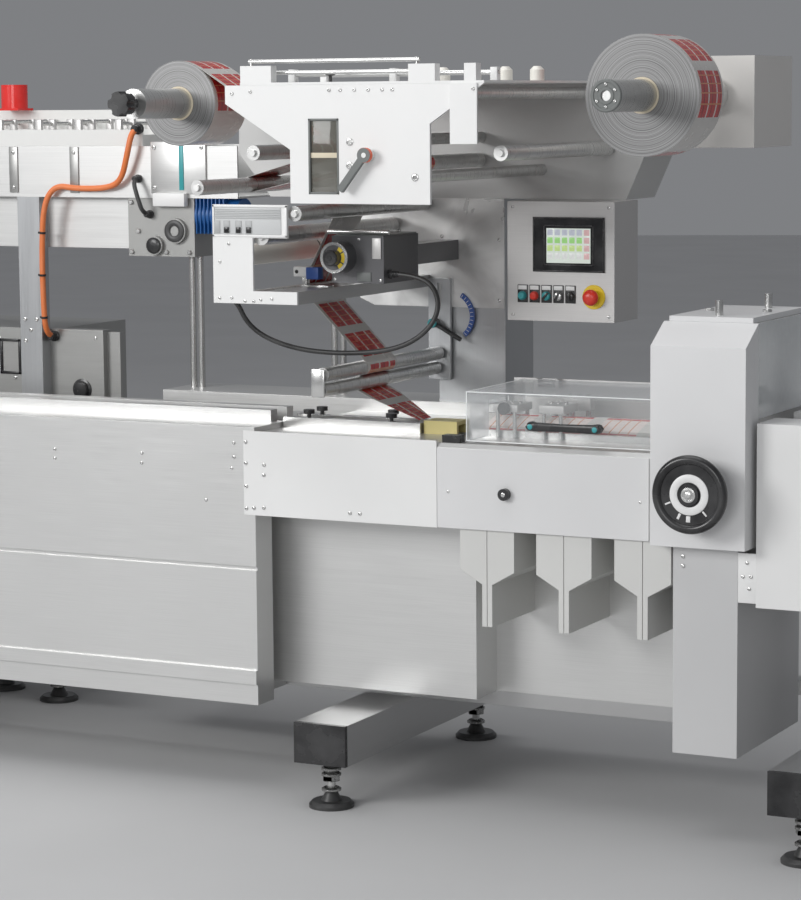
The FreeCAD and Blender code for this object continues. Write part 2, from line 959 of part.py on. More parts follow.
track_top = s.tube_bottom - s.seat_gap
track_sides = (across(-s.track_half), across(s.track_half))
track_x = (along(s.track_start), tower_left)
guides.append(block("track", track_x, track_sides, (s.bed_top, track_top)))
keep(group("guide_pair", guides), "bed_guides")
tube_low = s.tube_bottom
tube_high = s.tube_bottom + s.tube_height
tube_near = across(-s.tube_half)
tube_far = across(s.tube_half)
tube_outline = [
    (tube_near + s.tube_round, tube_low),
    (tube_far - s.tube_round, tube_low),
    (tube_far, tube_low + s.tube_round),
    (tube_far, tube_high - s.tube_round),
    (tube_far - s.tube_round, tube_high),
    (tube_near + s.tube_round, tube_high),
    (tube_near, tube_high - s.tube_round),
    (tube_near, tube_low + s.tube_round),
]
keep(profile("tube", "YZ", tube_outline, along(s.tube_start), tower_left), "film_tube")

latch_span = (along(s.latch_x), along(s.latch_x) + s.latch_length)
latch_y = (front + s.bed_lip_depth, front + s.bed_lip_depth + s.latch_depth)
latch_z = (s.bed_top, s.bed_top + s.latch_height)
knobs.append(block("latch", latch_span, latch_y, latch_z))
keep(group("knob_set", knobs), "black_knobs")

# Cabinets below and behind the bed
front_housing = block(
    "front_housing",
    (base_left, along(s.base_right)),
    (across(s.base_front), recess_face),
    (rail_top, s.bed_bottom),
)
lower_housing = block(
    "lower_housing",
    (base_left, lower_right),
    (recess_face, across(s.rear_front)),
    (rail_top, s.bed_bottom),
)
upper_housing = block(
    "upper_housing",
    (along(s.rear_left), lower_right),
    (across(s.rear_front), across(s.rear_back)),
    (rail_top, s.rear_top),
)
keep(fuse("housing", front_housing, lower_housing, upper_housing), "base_cabinet")

# Drive housings, each two half shells that meet on a seam
halves = []
for i in range(int(SIZES["drive_count"])):
    centre = along(s.drive_first) + s.drive_pitch * i
    for side in (-1, 1):
        outline = [
            (centre + side * s.drive_seam / 2, s.bed_bottom),
            (centre + side * s.drive_half, s.bed_bottom),
            (centre + side * s.drive_half, s.drive_shoulder),
            (centre + side * s.drive_leg_half, s.drive_neck),
            (centre + side * s.drive_leg_half, s.drive_bottom),
            (centre + side * s.drive_seam / 2, s.drive_bottom),
        ]
        halves.append(
            profile(f"drive_{i}_{side}", "XZ", outline, across(s.drive_front), recess_face)
        )
keep(group("drive_set", halves), "drive_housings")

# Post, tower and what the tower holds
post_right = along(s.post_left) + s.post_width
keep(
    block(
        "post_shell",
        (along(s.post_left), post_right),
        (across(s.post_front), across(s.post_back)),
        (s.post_bottom, s.tower_bottom),
    ),
    "post",
)
tower_face = across(s.tower_front)
hood_back = across(s.tower_hood_back)
tower_back = across(s.tower_back)
tower_outline = [
    (tower_face, s.tower_bottom),
    (tower_back, s.tower_bottom),
    (tower_back, s.tower_deck),
    (hood_back, s.tower_deck),
    (hood_back, tower_top),
    (tower_face, tower_face_top),
]
tower_shell = profile("tower_shell", "YZ", tower_outline, tower_left, tower_right)
back_wall = (tower_back - s.tower_wall, tower_back)
tower_rear = block("tower_rear", (tower_left, tower_right), back_wall, (s.tower_deck, tower_top))
window_y = (hood_back, back_wall[0])
window_z = (s.window_bottom, tower_top)
right_pane = block("pane_right", (tower_right - s.tower_wall, tower_right), window_y, window_z)
left_pane = block("pane_left", (tower_left, tower_left + s.tower_wall), window_y, window_z)
keep(group("panes", [left_pane, right_pane]), "tower_windows")
lid_top = tower_top + s.lid_thick
lid_x = (tower_left + s.lid_inset, tower_right - s.lid_inset)
lid_body = block("lid", lid_x, (hood_back, tower_back), (tower_top, lid_top))
studs = [lid_body]
for j in range(2):
    stud_y = hood_back + (tower_back - hood_back) * (s.stud_first + s.stud_step * j)
    stud_x = (lid_x[0] + lid_x[1]) / 2 + s.stud_shift * j
    studs.append(bar(f"stud_{j}", "Z", (stud_x, stud_y, lid_top), s.stud_radius, s.stud_height))
keep(fuse("lid_with_studs", *studs), "tower_lid")

tower_middle = (tower_left + tower_right) / 2
jaw_front = across(s.jaw_y) - s.jaw_half
jaw_length = s.jaw_half * 2


def spring(label, spot, reach):
    """A spring on its stud: ribs of a turned form, with the stud above it."""
    outline = [(0, 0)]
    for i in range(int(SIZES["spring_length"] / SIZES["spring_step"])):
        low = s.spring_step * i
        middle = low + s.spring_step / 2
        outline.append((s.spring_radius - s.spring_waist, low))
        outline.append((s.spring_radius, middle))
    outline.append((s.spring_radius - s.spring_waist, s.spring_length))
    outline.append((s.jaw_stud, s.spring_length))
    outline.append((s.jaw_stud, reach))
    outline.append((0, reach))
    return turned(label, outline, spot, "Z")


jaws = []
for label, height in (("lower", s.jaw_lower), ("upper", upper_axis)):
    spot = (tower_middle, jaw_front, height)
    roll = bar(f"jaw_{label}_roll", "Y", spot, s.jaw_radius, jaw_length)
    shaft_low = (tower_middle, hood_back, height)
    shaft = bar(f"jaw_{label}_shaft", "Y", shaft_low, s.jaw_shaft, back_wall[0] - hood_back)
    jaw_parts = [roll, shaft]
    for side in (-1, 1):
        near_face = across(s.jaw_y) + side * s.jaw_block_start
        far_face = near_face + side * s.jaw_block_depth
        block_y = (far_face, near_face) if side < 0 else (near_face, far_face)
        block_x = (tower_middle - s.jaw_block_half, tower_middle + s.jaw_block_half)
        block_z = (height - s.jaw_block_low, height + s.jaw_block_low)
        jaw_parts.append(block(f"bearing_{label}_{side}", block_x, block_y, block_z))
        if label == "upper":
            stud_spot = (tower_middle, (near_face + far_face) / 2, block_z[1])
            jaw_parts.append(spring(f"spring_{side}", stud_spot, tower_top - block_z[1]))
    jaws.append(fuse(f"jaw_{label}", *jaw_parts))
deck_cut = block(
    "jaw_pit",
    (tower_middle - s.jaw_radius - s.jaw_gap, tower_middle + s.jaw_radius + s.jaw_gap),
    (hood_back, back_wall[0]),
    (s.jaw_lower - s.jaw_radius - s.jaw_gap, tower_top),
)
keep(group("jaw_pair", jaws), "sealing_jaws")

# Handwheel on its boss
boss_outline = [
    (s.wheel_shaft + s.running_gap, 0),
    (s.wheel_boss, 0),
    (s.wheel_boss, s.wheel_boss_depth),
    (s.wheel_shaft + s.running_gap, s.wheel_boss_depth),
]
boss_face = tower_face - s.wheel_boss_depth
boss_spot = (along(s.wheel_x), boss_face, s.wheel_height)
wheel_boss = turned("boss", boss_outline, boss_spot, "Y")
tower_whole = fuse("tower_whole", tower_shell, tower_rear, wheel_boss)
keep(cut("tower_cut", tower_whole, deck_cut), "sealing_tower")
wheel_reach = boss_face - s.seat_gap - across(s.wheel_face)
shaft_end = wheel_reach + s.wheel_boss_depth
wheel_outline = [
    (0, -s.wheel_disc),
    (s.wheel_hub, -s.wheel_disc),
    (s.wheel_hub, 0),
    (s.wheel_radius - s.wheel_rim / 2, 0),
    (s.wheel_radius - s.wheel_rim / 2, s.wheel_disc),
    (s.wheel_hub, s.wheel_disc),
    (s.wheel_hub, wheel_reach),
    (s.wheel_shaft, wheel_reach),
    (s.wheel_shaft, shaft_end),
    (0, shaft_end),
]
wheel_spot = (along(s.wheel_x), across(s.wheel_face), s.wheel_height)
disc = turned("wheel", wheel_outline, wheel_spot, "Y")
rim = doc.addObject("Part::Torus", "rim")
rim.setExpression("Radius1", s.wheel_radius.text)
rim.setExpression("Radius2", s.wheel_rim.text)
place(rim, (wheel_spot[0], wheel_spot[1] + s.wheel_disc / 2, wheel_spot[2]), "Y")
keep(fuse("wheel_whole", disc, rim), "handwheel")

# Discharge housing, its belt and its leg
discharge_outline = [
    (panel_face, s.discharge_bottom),
    (across(s.discharge_back), s.discharge_bottom),
    (across(s.discharge_back), s.discharge_top),
    (across(s.belt_half) + s.skin, s.discharge_top),
    (across(s.belt_half) + s.skin, s.belt_floor),
    (across(-s.belt_half) - s.skin, s.belt_floor),
    (across(-s.belt_half) - s.skin, s.discharge_top),
    (panel_face, s.discharge_top),
]
discharge_shell = profile("discharge", "YZ", discharge_outline, discharge_left, discharge_right)
belt_z = (s.belt_floor, s.belt_floor + s.belt_thick)
keep(
    block("belt", (discharge_left, discharge_right), (across(-s.belt_half), across(s.belt_half)), belt_z),
    "discharge_belt",
)
bridge_y = (across(-s.bridge_half), across(s.bridge_half))
bridge_z = (s.tower_bottom, s.tower_deck)
bridge = block("bridge", (tower_right, discharge_left), bridge_y, bridge_z)
keep(fuse("discharge_whole", discharge_shell, bridge), "discharge_body")

# Column, swirl plate, main beam and end box
column_x = (along(s.column_left), along(s.column_left) + s.column_width)
keep(
    block("column_post", column_x, (frame_face, across(s.rear_back)), (s.rear_top, s.boat_bottom)),
    "column",
)
plate_y = (frame_face - s.plate_thick, frame_face)
plate_left = along(s.plate_left)
plate_outline = [
    (plate_left, s.boat_bottom),
    (plate_left, s.plate_bottom + s.plate_round),
    (plate_left + s.plate_bevel, s.plate_bottom + s.plate_bevel),
    (plate_left + s.plate_round, s.plate_bottom),
    (column_x[1], s.plate_bottom),
    (column_x[1], s.boat_bottom),
]
keep(profile("swirl", "XZ", plate_outline, *plate_y), "column_plate")
boat_outline = [
    (along(s.boat_left), s.boat_top),
    (along(s.boat_left), s.boat_left_shoulder),
    (along(s.boat_left_low), s.boat_bottom),
    (along(s.boat_right_low), s.boat_bottom),
    (along(s.boat_right), s.boat_shoulder),
    (along(s.boat_right), s.boat_top),
]
boat = profile("boat", "XZ", boat_outline, frame_face, frame_back)
endbox_z = (s.boat_shoulder, s.endbox_top)
endbox_x = (along(s.boat_right), along(s.endbox_right))
endbox = block("endbox", endbox_x, (frame_face, frame_face + s.endbox_depth), endbox_z)

# Operator's box with its screen, switches and stop button
box_left = along(s.panelbox_left)
box_face = across(s.panelbox_front)
box_right = box_left + s.panelbox_width
box_z = (s.panelbox_bottom, s.boat_bottom)
operator = block("operator", (box_left, box_right), (box_face, frame_face), box_z)
hanger = block(
    "hanger",
    (box_left + s.hanger_inset, box_right - s.hanger_inset),
    (frame_face, frame_face + s.hanger_depth),
    (s.boat_bottom - s.hanger_drop, s.boat_bottom),
)
keep(fuse("operator_whole", operator, hanger), "operator_box")
screen_x = (box_left + s.screen_left, box_left + s.screen_left + s.screen_width)
screen_low = s.panelbox_bottom + s.screen_low
screen_y = (box_face - s.screen_thick, box_face)
screen_z = (screen_low, screen_low + s.screen_high)
keep(block("screen", screen_x, screen_y, screen_z), "touch_screen")
switches = []
for i in range(int(SIZES["switch_count"])):
    switch_x = box_left + s.switch_first + s.switch_pitch * i
    spot = (switch_x, box_face - s.switch_reach, s.panelbox_bottom + s.switch_low)
    switches.append(bar(f"switch_{i}", "Y", spot, s.switch_radius, s.switch_reach))
stop_outline = [
    (0, -s.stop_reach),
    (s.stop_head - s.stop_round, -s.stop_reach),
    (s.stop_head, -s.stop_reach + s.stop_round),
    (s.stop_head, -s.stop_reach + s.stop_brim),
    (s.stop_neck, -s.stop_reach + s.stop_under),
    (s.stop_neck, -s.stop_ring_high),
    (s.stop_disc, -s.stop_ring),
    (s.stop_disc, 0),
    (0, 0),
]
stop_spot = (box_left + s.stop_x, box_face, s.panelbox_bottom + s.switch_low)
switches.append(turned("stop", stop_outline, stop_spot, "Y"))
keep(group("switch_row", switches), "panel_buttons")

# Front carrier with its window, ties and deck
cheek_face = across(s.cheek_front)
cheek_back = cheek_face + s.cheek_thick
cheek_outline = [
    (along(s.arm_tip), s.cheek_top),
    (along(s.arm_tip), s.arm_low),
    (along(s.cheek_left), s.arm_join),
    (along(s.cheek_left), s.cheek_bottom),
    (along(s.cheek_right), s.cheek_bottom),
    (along(s.cheek_right), s.cheek_right_high),
    (along(s.cheek_right_top), s.cheek_top),
]
cheek_window = [
    (along(s.window_left), s.window_low),
    (along(s.window_right), s.window_low),
    (along(s.window_right), s.window_high),
    (along(s.window_left), s.window_high),
]
cheek = profile("cheek", "XZ", cheek_outline, cheek_face, cheek_back, holes=[cheek_window])
tie_spots = [
    (s.tie_one_x, s.tie_one_z),
    (s.tie_two_x, s.tie_two_z),
    (s.tie_three_x, s.tie_three_z),
]
ties = []
for i, (tie_x, tie_z) in enumerate(tie_spots):
    spot = (along(tie_x), cheek_back, tie_z)
    ties.append(bar(f"tie_{i}", "Y", spot, s.tie_radius, frame_face - cheek_back))
deck_top = s.cheek_top + s.deck_thick
deck = block(
    "deck",
    (along(s.deck_left), along(s.cheek_right_top)),
    (cheek_face, frame_face + s.deck_seat),
    (s.cheek_top, deck_top),
)
deck_blocks = [
    ("deck_block_one", s.deck_block_one, s.deck_block_one_length),
    ("deck_block_two", s.deck_block_two, s.deck_block_two_length),
    ("deck_block_three", s.deck_block_three, s.deck_block_three_length),
]
deck_set = [deck]
for label, block_left, block_length in deck_blocks:
    deck_set.append(
        block(
            label,
            (along(block_left), along(block_left) + block_length),
            (cheek_face, cheek_face + s.deck_block_depth),
            (deck_top, deck_top + s.deck_block_height),
        )
    )
dome_outline = [
    (0, 0),
    (s.dome_radius, 0),
    (s.dome_radius, s.dome_height - s.dome_radius / 2),
    (s.dome_radius * 0.5, s.dome_height),
    (0, s.dome_height),
]
for i in range(int(SIZES["dome_count"])):
    dome_spot = (along(s.dome_first) + s.dome_pitch * i, across(s.dome_y), deck_top)
    deck_set.append(turned(f"dome_{i}", dome_outline, dome_spot, "Z"))
keep(fuse("deck_whole", *deck_set), "top_deck")

# Clamp lever on its pin, and the seat the pin stands on
pin_spot = (along(s.lever_x), cheek_face - s.lever_boss, s.lever_height)
lever_back = cheek_face - s.lever_boss - s.seat_gap
lever_y = (lever_back - s.lever_depth, lever_back)
hub_spot = (pin_spot[0], lever_y[0], pin_spot[2])
lever_hub = bar("lever_hub", "Y", hub_spot, s.lever_radius, s.lever_depth)
lever_tip = (along(s.lever_tip_x), s.lever_tip_z)
arm_outline = [
    (pin_spot[0] + s.lever_side_x, pin_spot[2] - s.lever_side_z),
    (lever_tip[0] + s.lever_side_x, lever_tip[1] - s.lever_side_z),
    (lever_tip[0] - s.lever_side_x, lever_tip[1] + s.lever_side_z),
    (pin_spot[0] - s.lever_side_x, pin_spot[2] + s.lever_side_z),
]
lever_arm = profile("lever_arm", "XZ", arm_outline, *lever_y)
pin_hole = bar("pin_hole", "Y", hub_spot, s.lever_pin + s.running_gap, s.lever_depth)
lever_shape = fuse("lever_shape", lever_hub, lever_arm)
keep(cut("lever", lever_shape, pin_hole), "clamp_lever")
lever_seat = bar("lever_seat", "Y", pin_spot, s.lever_seat_radius, s.lever_boss)
pin_reach = s.lever_depth + s.seat_gap
lever_pin = bar("lever_pin", "Y", hub_spot, s.lever_pin, pin_reach)
hook = block(
    "hook",
    (along(s.hook_left), along(s.hook_right)),
    (cheek_face - s.hook_thick, cheek_face),
    (s.hook_low, s.cheek_top),
)
keep(fuse("cheek_whole", cheek, lever_seat, lever_pin, hook), "front_carrier")


# Reels on their shafts
def reel(label, centre_x, centre_z, radius, tip, seat):
    """One wound reel: the film, its core and the shaft that turns with them."""
    half = s.film_width / 2
    core_inner = s.core_radius - s.core_wall
    core_half = half + s.core_proud
    wound = [
        (core_inner, -core_half),
        (s.core_radius, -core_half),
        (s.core_radius, -half),
        (radius, -half),
        (radius, half),
        (s.core_radius, half),
        (s.core_radius, core_half),
        (core_inner, core_half),
    ]
    spot = (along(centre_x), s.lane_y, centre_z)
    keep(turned(f"{label}_film", wound, spot, "Y"), label)
    bearing_face = seat - s.bearing_depth
    mandrel = core_inner - s.seat_gap
    outline = [
        (0, s.reel_front),
        (mandrel, s.reel_front),
        (mandrel, s.reel_back),
        (s.reel_neck, s.reel_back),
        (s.reel_neck, seat - s.lane_y - s.seat_gap),
        (0, seat - s.lane_y - s.seat_gap),
    ]
    if tip == "star":
        outline = [
            (0, s.reel_front - s.star_depth * 2),
            (s.star_radius, s.reel_front - s.star_depth * 2),
            (s.star_radius, s.reel_front - s.star_depth),
            (s.reel_neck, s.reel_front - s.star_depth),
            (s.reel_neck, s.reel_front),
        ] + outline[1:]
    shaft = turned(f"{label}_mandrel", outline, spot, "Y")
    if tip == "star":
        grooves = []
        for i in range(int(SIZES["star_lobes"])):
            angle = 2 * math.pi * i / SIZES["star_lobes"]
            groove_x = along(centre_x) + s.star_groove_ring * math.cos(angle)
            groove_z = centre_z + s.star_groove_ring * math.sin(angle)
            groove_y = s.lane_y + s.reel_front - s.star_depth * 2
            groove_spot = (groove_x, groove_y, groove_z)
            grooves.append(bar(f"star_groove_{i}", "Y", groove_spot, s.star_groove, s.star_depth))
        shaft = cut("star_knob", shaft, *grooves)
    keep(shaft, f"{label}_shaft")
    bearing = [
        (s.reel_neck + s.running_gap, 0),
        (s.bearing_radius, 0),
        (s.bearing_radius, s.bearing_depth),
        (s.reel_neck + s.running_gap, s.bearing_depth),
    ]
    bearing_spot = (along(centre_x), bearing_face, centre_z)
    return turned(f"{label}_housing", bearing, bearing_spot, "Y")


left_bearing = reel(
    "left_reel", s.left_reel_x, s.left_reel_z, s.left_reel_radius, "star", frame_face
)
right_bearing = reel(
    "right_reel", s.right_reel_x, s.right_reel_z, s.right_reel_radius, "plain", frame_face
)
keep(fuse("beam_whole", boat, left_bearing), "main_beam")
keep(fuse("endbox_whole", endbox, right_bearing), "end_box")


# Idle rollers: each tube sits on an axle that runs back to the frame
bracket_back = frame_face - s.plate_thick
bracket_face = bracket_back - s.bracket_thick


def roller(label, centre_x, centre_z, radius, tip, seat, axle=s.axle_radius):
    """One roller with the ends of its axle."""
    reach = seat - across(tip)
    outline = [
        (0, -s.axle_tip),
        (axle, -s.axle_tip),
        (axle, 0),
        (radius, 0),
        (radius, reach - s.axle_bare),
        (axle, reach - s.axle_bare),
        (axle, reach),
        (0, reach),
    ]
    return turned(label, outline, (along(centre_x), across(tip), centre_z), "Y")


rollers = ties + [
    roller("roller_a", s.roller_a_x, s.roller_a_z, s.roller_radius, s.roller_front, frame_face),
    roller("roller_b", s.roller_b_x, s.roller_b_z, s.roller_radius, s.roller_front, frame_face),
    roller("roller_c", s.roller_c_x, s.roller_c_z, s.roller_radius, s.roller_front, plate_y[0]),
    roller("roller_d", s.roller_d_x, s.roller_d_z, s.roller_radius, s.roller_d_front, frame_face),
    roller("roller_e", s.roller_e_x, s.roller_e_z, s.roller_radius, s.roller_front, frame_face),
    roller("roller_f", s.roller_f_x, s.roller_f_z, s.roller_f_radius, s.roller_front, plate_y[0]),
    roller("roller_g", s.roller_g_x, s.roller_g_z, s.pair_roller, s.pair_front, bracket_face),
    roller("roller_h", s.roller_h_x, s.roller_h_z, s.pair_roller, s.pair_front, bracket_face),
]
slot_x = along(s.bracket_left) + s.bracket_width / 2
bracket_outline = [
    (along(s.bracket_left), s.bracket_low),
    (along(s.bracket_left) + s.bracket_width, s.bracket_low),
    (along(s.bracket_left) + s.bracket_width, s.bracket_high),
    (along(s.bracket_left), s.bracket_high),
]
slot_high = s.bracket_high - s.slot_half * 2
slot_low = slot_high - s.slot_length
slot = [
    (slot_x - s.slot_half, slot_low),
    (slot_x + s.slot_half, slot_low),
    (slot_x + s.slot_half, slot_high),
    (slot_x - s.slot_half, slot_high),
]
keep(
    profile("bracket", "XZ", bracket_outline, bracket_face, bracket_back, holes=[slot]),
    "pair_bracket",
)


# The film's way over its rollers
def film_line(stations, shift):
    """The tangent points of a line that runs over each (x, z, signed radius)."""
    points = []
    for (x_a, z_a, r_a), (x_b, z_b, r_b) in zip(stations, stations[1:]):
        rad_a, rad_b = r_a + shift, r_b + shift
        gap = math.hypot(x_b - x_a, z_b - z_a)
        heading = math.atan2(z_b - z_a, x_b - x_a)
        lean = math.asin((rad_a - rad_b) / gap)
        side = heading - lean + math.pi / 2
        step = (math.cos(side), math.sin(side))
        points.append((x_a + rad_a * step[0], z_a + rad_a * step[1]))
        points.append((x_b + rad_b * step[0], z_b + rad_b * step[1]))
    return points


def film_edge(stations, shift):
    """One face of the film: straight runs with an arc round each roller."""
    points = film_line(stations, shift)
    edges = []
    for i in range(0, len(points), 2):
        if i:
            x_mid, z_mid, signed = stations[i // 2]
            (x_in, z_in), (x_out, z_out) = points[i - 1], points[i]
            start = math.atan2(z_in - z_mid, x_in - x_mid)
            end = math.atan2(z_out - z_mid, x_out - x_mid)
            way = -1.0 if signed > 0 else 1.0
            sweep = ((end - start) * way) % (2 * math.pi)
            half_way = start + way * sweep / 2
            radius = abs(signed + shift)
            middle = Vector(
                x_mid + radius * math.cos(half_way), 0, z_mid + radius * math.sin(half_way)
            )
            edges.append(Part.Arc(Vector(x_in, 0, z_in), middle, Vector(x_out, 0, z_out)).toShape())
        start_point, end_point = (Vector(x, 0, z) for x, z in points[i:i + 2])
        edges.append(Part.LineSegment(start_point, end_point).toShape())
    return edges


x_zero = SIZES["panel_x"]
wrap = SIZES["film_gap"] + SIZES["film_thick"] / 2


def station(name, radius, way):
    """A roller's place with the signed radius of the film's middle line on it."""
    return (x_zero + SIZES[f"{name}_x"], SIZES[f"{name}_z"], way * (radius + wrap))


roller_size = SIZES["roller_radius"]
film_stations = [
    station("left_reel", SIZES["left_reel_radius"], 1),
    station("roller_a", roller_size, 1),
    station("roller_b", roller_size, -1),
    station("roller_e", roller_size, 1),
    station("roller_c", roller_size, -1),
    station("turn", SIZES["turn_radius"], -1),
    station("roller_g", SIZES["pair_roller"], 1),
    station("roller_h", SIZES["pair_roller"], -1),
    (
        x_zero + SIZES["fold_start"] - SIZES["film_end_gap"],
        SIZES["bed_top"] + SIZES["fold_height"],
        0.0,
    ),
]


def taper_wedge(side):
    """What is folded in at one edge of the film on its way to the folding box."""
    middle = SIZES["film_width"] / 2
    start = film_stations[-2][0] + SIZES["pair_roller"] + SIZES["taper_gap"]
    end = film_stations[-1][0] + SIZES["taper_gap"]
    wide = middle + side * middle
    narrow = middle + side * SIZES["film_end_width"] / 2
    outside = middle + side * SIZES["film_width"]
    corners = [(start, wide), (end, narrow), (end, outside), (start, outside), (start, wide)]
    top = film_stations[-2][1] - SIZES["pair_roller"]
    face = Part.Face(Part.makePolygon([Vector(x, y, SIZES["bed_top"]) for x, y in corners]))
    return face.extrude(Vector(0, 0, top - SIZES["bed_top"]))


def film_shape():
    """The film as a thin closed band, as wide as it is on the reels."""
    half = SIZES["film_thick"] / 2
    upper = film_edge(film_stations, half)
    lower = film_edge(film_stations, -half)
    ends = []
    for index in (0, -1):
        low = film_line(film_stations, -half)[index]
        high = film_line(film_stations, half)[index]
        ends.append(Part.LineSegment(Vector(low[0], 0, low[1]), Vector(high[0], 0, high[1])).toShape())
    outline = Part.Wire(Part.__sortEdges__(ends + upper + lower))
    band = Part.Face(outline).extrude(Vector(0, SIZES["film_width"], 0))
    return band.cut(Part.Compound([taper_wedge(side) for side in (-1, 1)]))


film = doc.addObject("Part::Feature", "film")
film.Shape = film_shape()
film_near = SIZES["lane_y"] - SIZES["film_width"] / 2
film.Placement = FreeCAD.Placement(Vector(0, film_near, 0), FreeCAD.Rotation())
keep(film, "film_web")

# Date printer
printer_face = across(s.printer_front)
printer_back = printer_face + s.printer_thick
printer_outline = [
    (along(s.printer_left), s.printer_high),
    (along(s.printer_left), s.printer_low),
    (along(s.printer_bed_right), s.printer_low),
    (along(s.printer_bed_right), s.printer_low + s.printer_bed_thick),
    (along(s.printer_step_x), s.printer_low + s.printer_bed_thick),
    (along(s.printer_step_x), s.printer_step_z),
    (along(s.printer_right), s.printer_step_z),
    (along(s.printer_right), s.printer_high),
]
keep(profile("printer", "XZ", printer_outline, printer_face, printer_back), "printer_plate")
keep(
    block(
        "printer_shelf",
        (along(s.turn_x) + s.shelf_gap, along(s.printer_bed_right)),
        (printer_back, plate_y[0]),
        (s.printer_low, s.printer_low + s.printer_bed_thick),
    ),
    "printer_bed",
)
head_x = (along(s.head_left), along(s.head_right))
head_back = across(s.head_back)
head = block("head", head_x, (across(s.head_front), head_back), (s.head_low, s.head_high))
arm_x = (head_x[0] + s.arm_inset, head_x[0] + s.arm_inset + s.arm_width)
arm_z = (s.head_low + s.arm_inset, s.head_low + s.arm_inset + s.arm_height)
head_arm = block("head_arm", arm_x, (head_back, plate_y[0]), arm_z)
ribbon_spot = (along(s.ribbon_x), across(s.ribbon_front), s.ribbon_z)
ribbon_outline = [
    (0, 0),
    (s.ribbon_radius / 2, 0),
    (s.ribbon_radius / 2, s.ribbon_radius / 2),
    (s.ribbon_radius, s.ribbon_radius / 2),
    (s.ribbon_radius, across(s.head_front) - across(s.ribbon_front)),
    (0, across(s.head_front) - across(s.ribbon_front)),
]
ribbon = turned("ribbon", ribbon_outline, ribbon_spot, "Y")
keep(fuse("head_whole", head, head_arm, ribbon), "print_head")
print_roller_spot = (along(s.print_roller_x), printer_back, s.print_roller_z)
keep(
    bar(
        "platen",
        "Y",
        print_roller_spot,
        s.print_roller_radius,
        across(s.print_roller_back) - printer_back,
    ),
    "print_roller",
)
turn_bar_spot = (along(s.turn_x), printer_back, s.turn_z)
rollers.append(bar("turn", "Y", turn_bar_spot, s.turn_radius, plate_y[0] - printer_back))
keep(group("roller_set", rollers), "guide_rollers")

# Feeder behind the infeed
feeder_x = (along(s.feeder_left), along(s.feeder_right))
feeder_y = (across(s.feeder_front), across(s.feeder_back))
feeder_z = (s.feeder_low, s.feeder_high)
panel_back = feeder_y[0] + s.feeder_panel
feeder_face = block("feeder_face", feeder_x, (feeder_y[0], panel_back), feeder_z)
body_x = (feeder_x[0], along(s.feeder_body_right))
feeder_base = block("feeder_base", body_x, (panel_back, feeder_y[1]), feeder_z)
side_x = (feeder_x[1], feeder_x[1] + s.feeder_lip)
side_y = (feeder_y[0] + s.feeder_panel / 2, panel_back)
side_z = (s.feeder_low, s.feeder_high - s.plate_thick)
feeder_side = block("feeder_side", side_x, side_y, side_z)
keep(fuse("feeder_whole", feeder_face, feeder_base, feeder_side), "feeder_cabinet")
leg_x = (along(s.leg_x), along(s.leg_x) + s.feeder_leg_width)
keep(
    block(
        "feeder_stand",
        leg_x,
        (feeder_y[0] - s.feeder_leg_depth, feeder_y[0]),
        (s.feeder_leg_low, s.hopper_high),
    ),
    "feeder_leg",
)
hopper_y = (across(s.hopper_front), across(s.hopper_back))
hopper_x = (feeder_x[0], along(s.hopper_right))
hopper = block("hopper", hopper_x, (feeder_y[0], hopper_y[1]), (s.hopper_low, s.hopper_high))
channel_outline = [
    (hopper_y[0], s.channel_high),
    (hopper_y[0], s.hopper_high),
    (hopper_y[1], s.hopper_high),
    (hopper_y[1], s.channel_high),
    (hopper_y[1] - s.channel_wall, s.channel_high),
    (hopper_y[1] - s.channel_wall, s.hopper_high + s.channel_wall),
    (hopper_y[0] + s.channel_wall, s.hopper_high + s.channel_wall),
    (hopper_y[0] + s.channel_wall, s.channel_high),
]
channel = profile("channel", "YZ", channel_outline, feeder_x[0], along(s.channel_right))
keep(fuse("trough_whole", hopper, channel), "feeder_trough")
table_low = s.channel_high
table_high = table_low + s.lane_table_thick
table_x = (feeder_x[0], along(s.lane_table_right))
table = [block("lane_floor", table_x, hopper_y, (table_low, table_high))]
lane_pitch = (hopper_y[1] - hopper_y[0] - s.lane_wall) / SIZES["lane_count"]
wall_places = [hopper_y[0] + lane_pitch * i for i in range(int(SIZES["lane_count"]))]
wall_places.append(hopper_y[1] - s.lane_wall)
for i, wall_y in enumerate(wall_places):
    rise = s.lane_wall_height if i == len(wall_places) - 1 else s.lane_rib_height
    wall_z = (table_low, table_high + rise)
    table.append(block(f"lane_wall_{i}", table_x, (wall_y, wall_y + s.lane_wall), wall_z))
keep(fuse("lane_table", *table), "lane_table")
wall_top = table_high + s.lane_wall_height
lamp_x = along(s.beacon_x)
lamp_y = hopper_y[1] - s.beacon_radius
lamp_foot = block(
    "lamp_foot",
    (lamp_x - s.beacon_radius, lamp_x + s.beacon_radius),
    (hopper_y[1] - s.beacon_radius * 2, hopper_y[1]),
    (wall_top, wall_top + s.beacon_plate),
)
lamp_spot = (lamp_x, lamp_y, wall_top + s.beacon_plate)
lamp = bar("lamp", "Z", lamp_spot, s.beacon_radius, s.beacon_height)
keep(fuse("lamp_whole", lamp_foot, lamp), "beacon")
gear_x = (hopper_x[1], along(s.gear_right))
gear_y = (hopper_y[0] + s.channel_wall, (hopper_y[0] + hopper_y[1]) / 2)
gear_case = block("gear", gear_x, gear_y, (s.gear_low, s.hopper_high))
gear_set = [gear_case]
gear_bosses = [
    ("gear_cap", s.gear_cap_x, s.gear_cap_z, s.gear_cap_radius),
    ("gear_ring", s.gear_ring_x, s.gear_ring_z, s.gear_ring_radius),
]
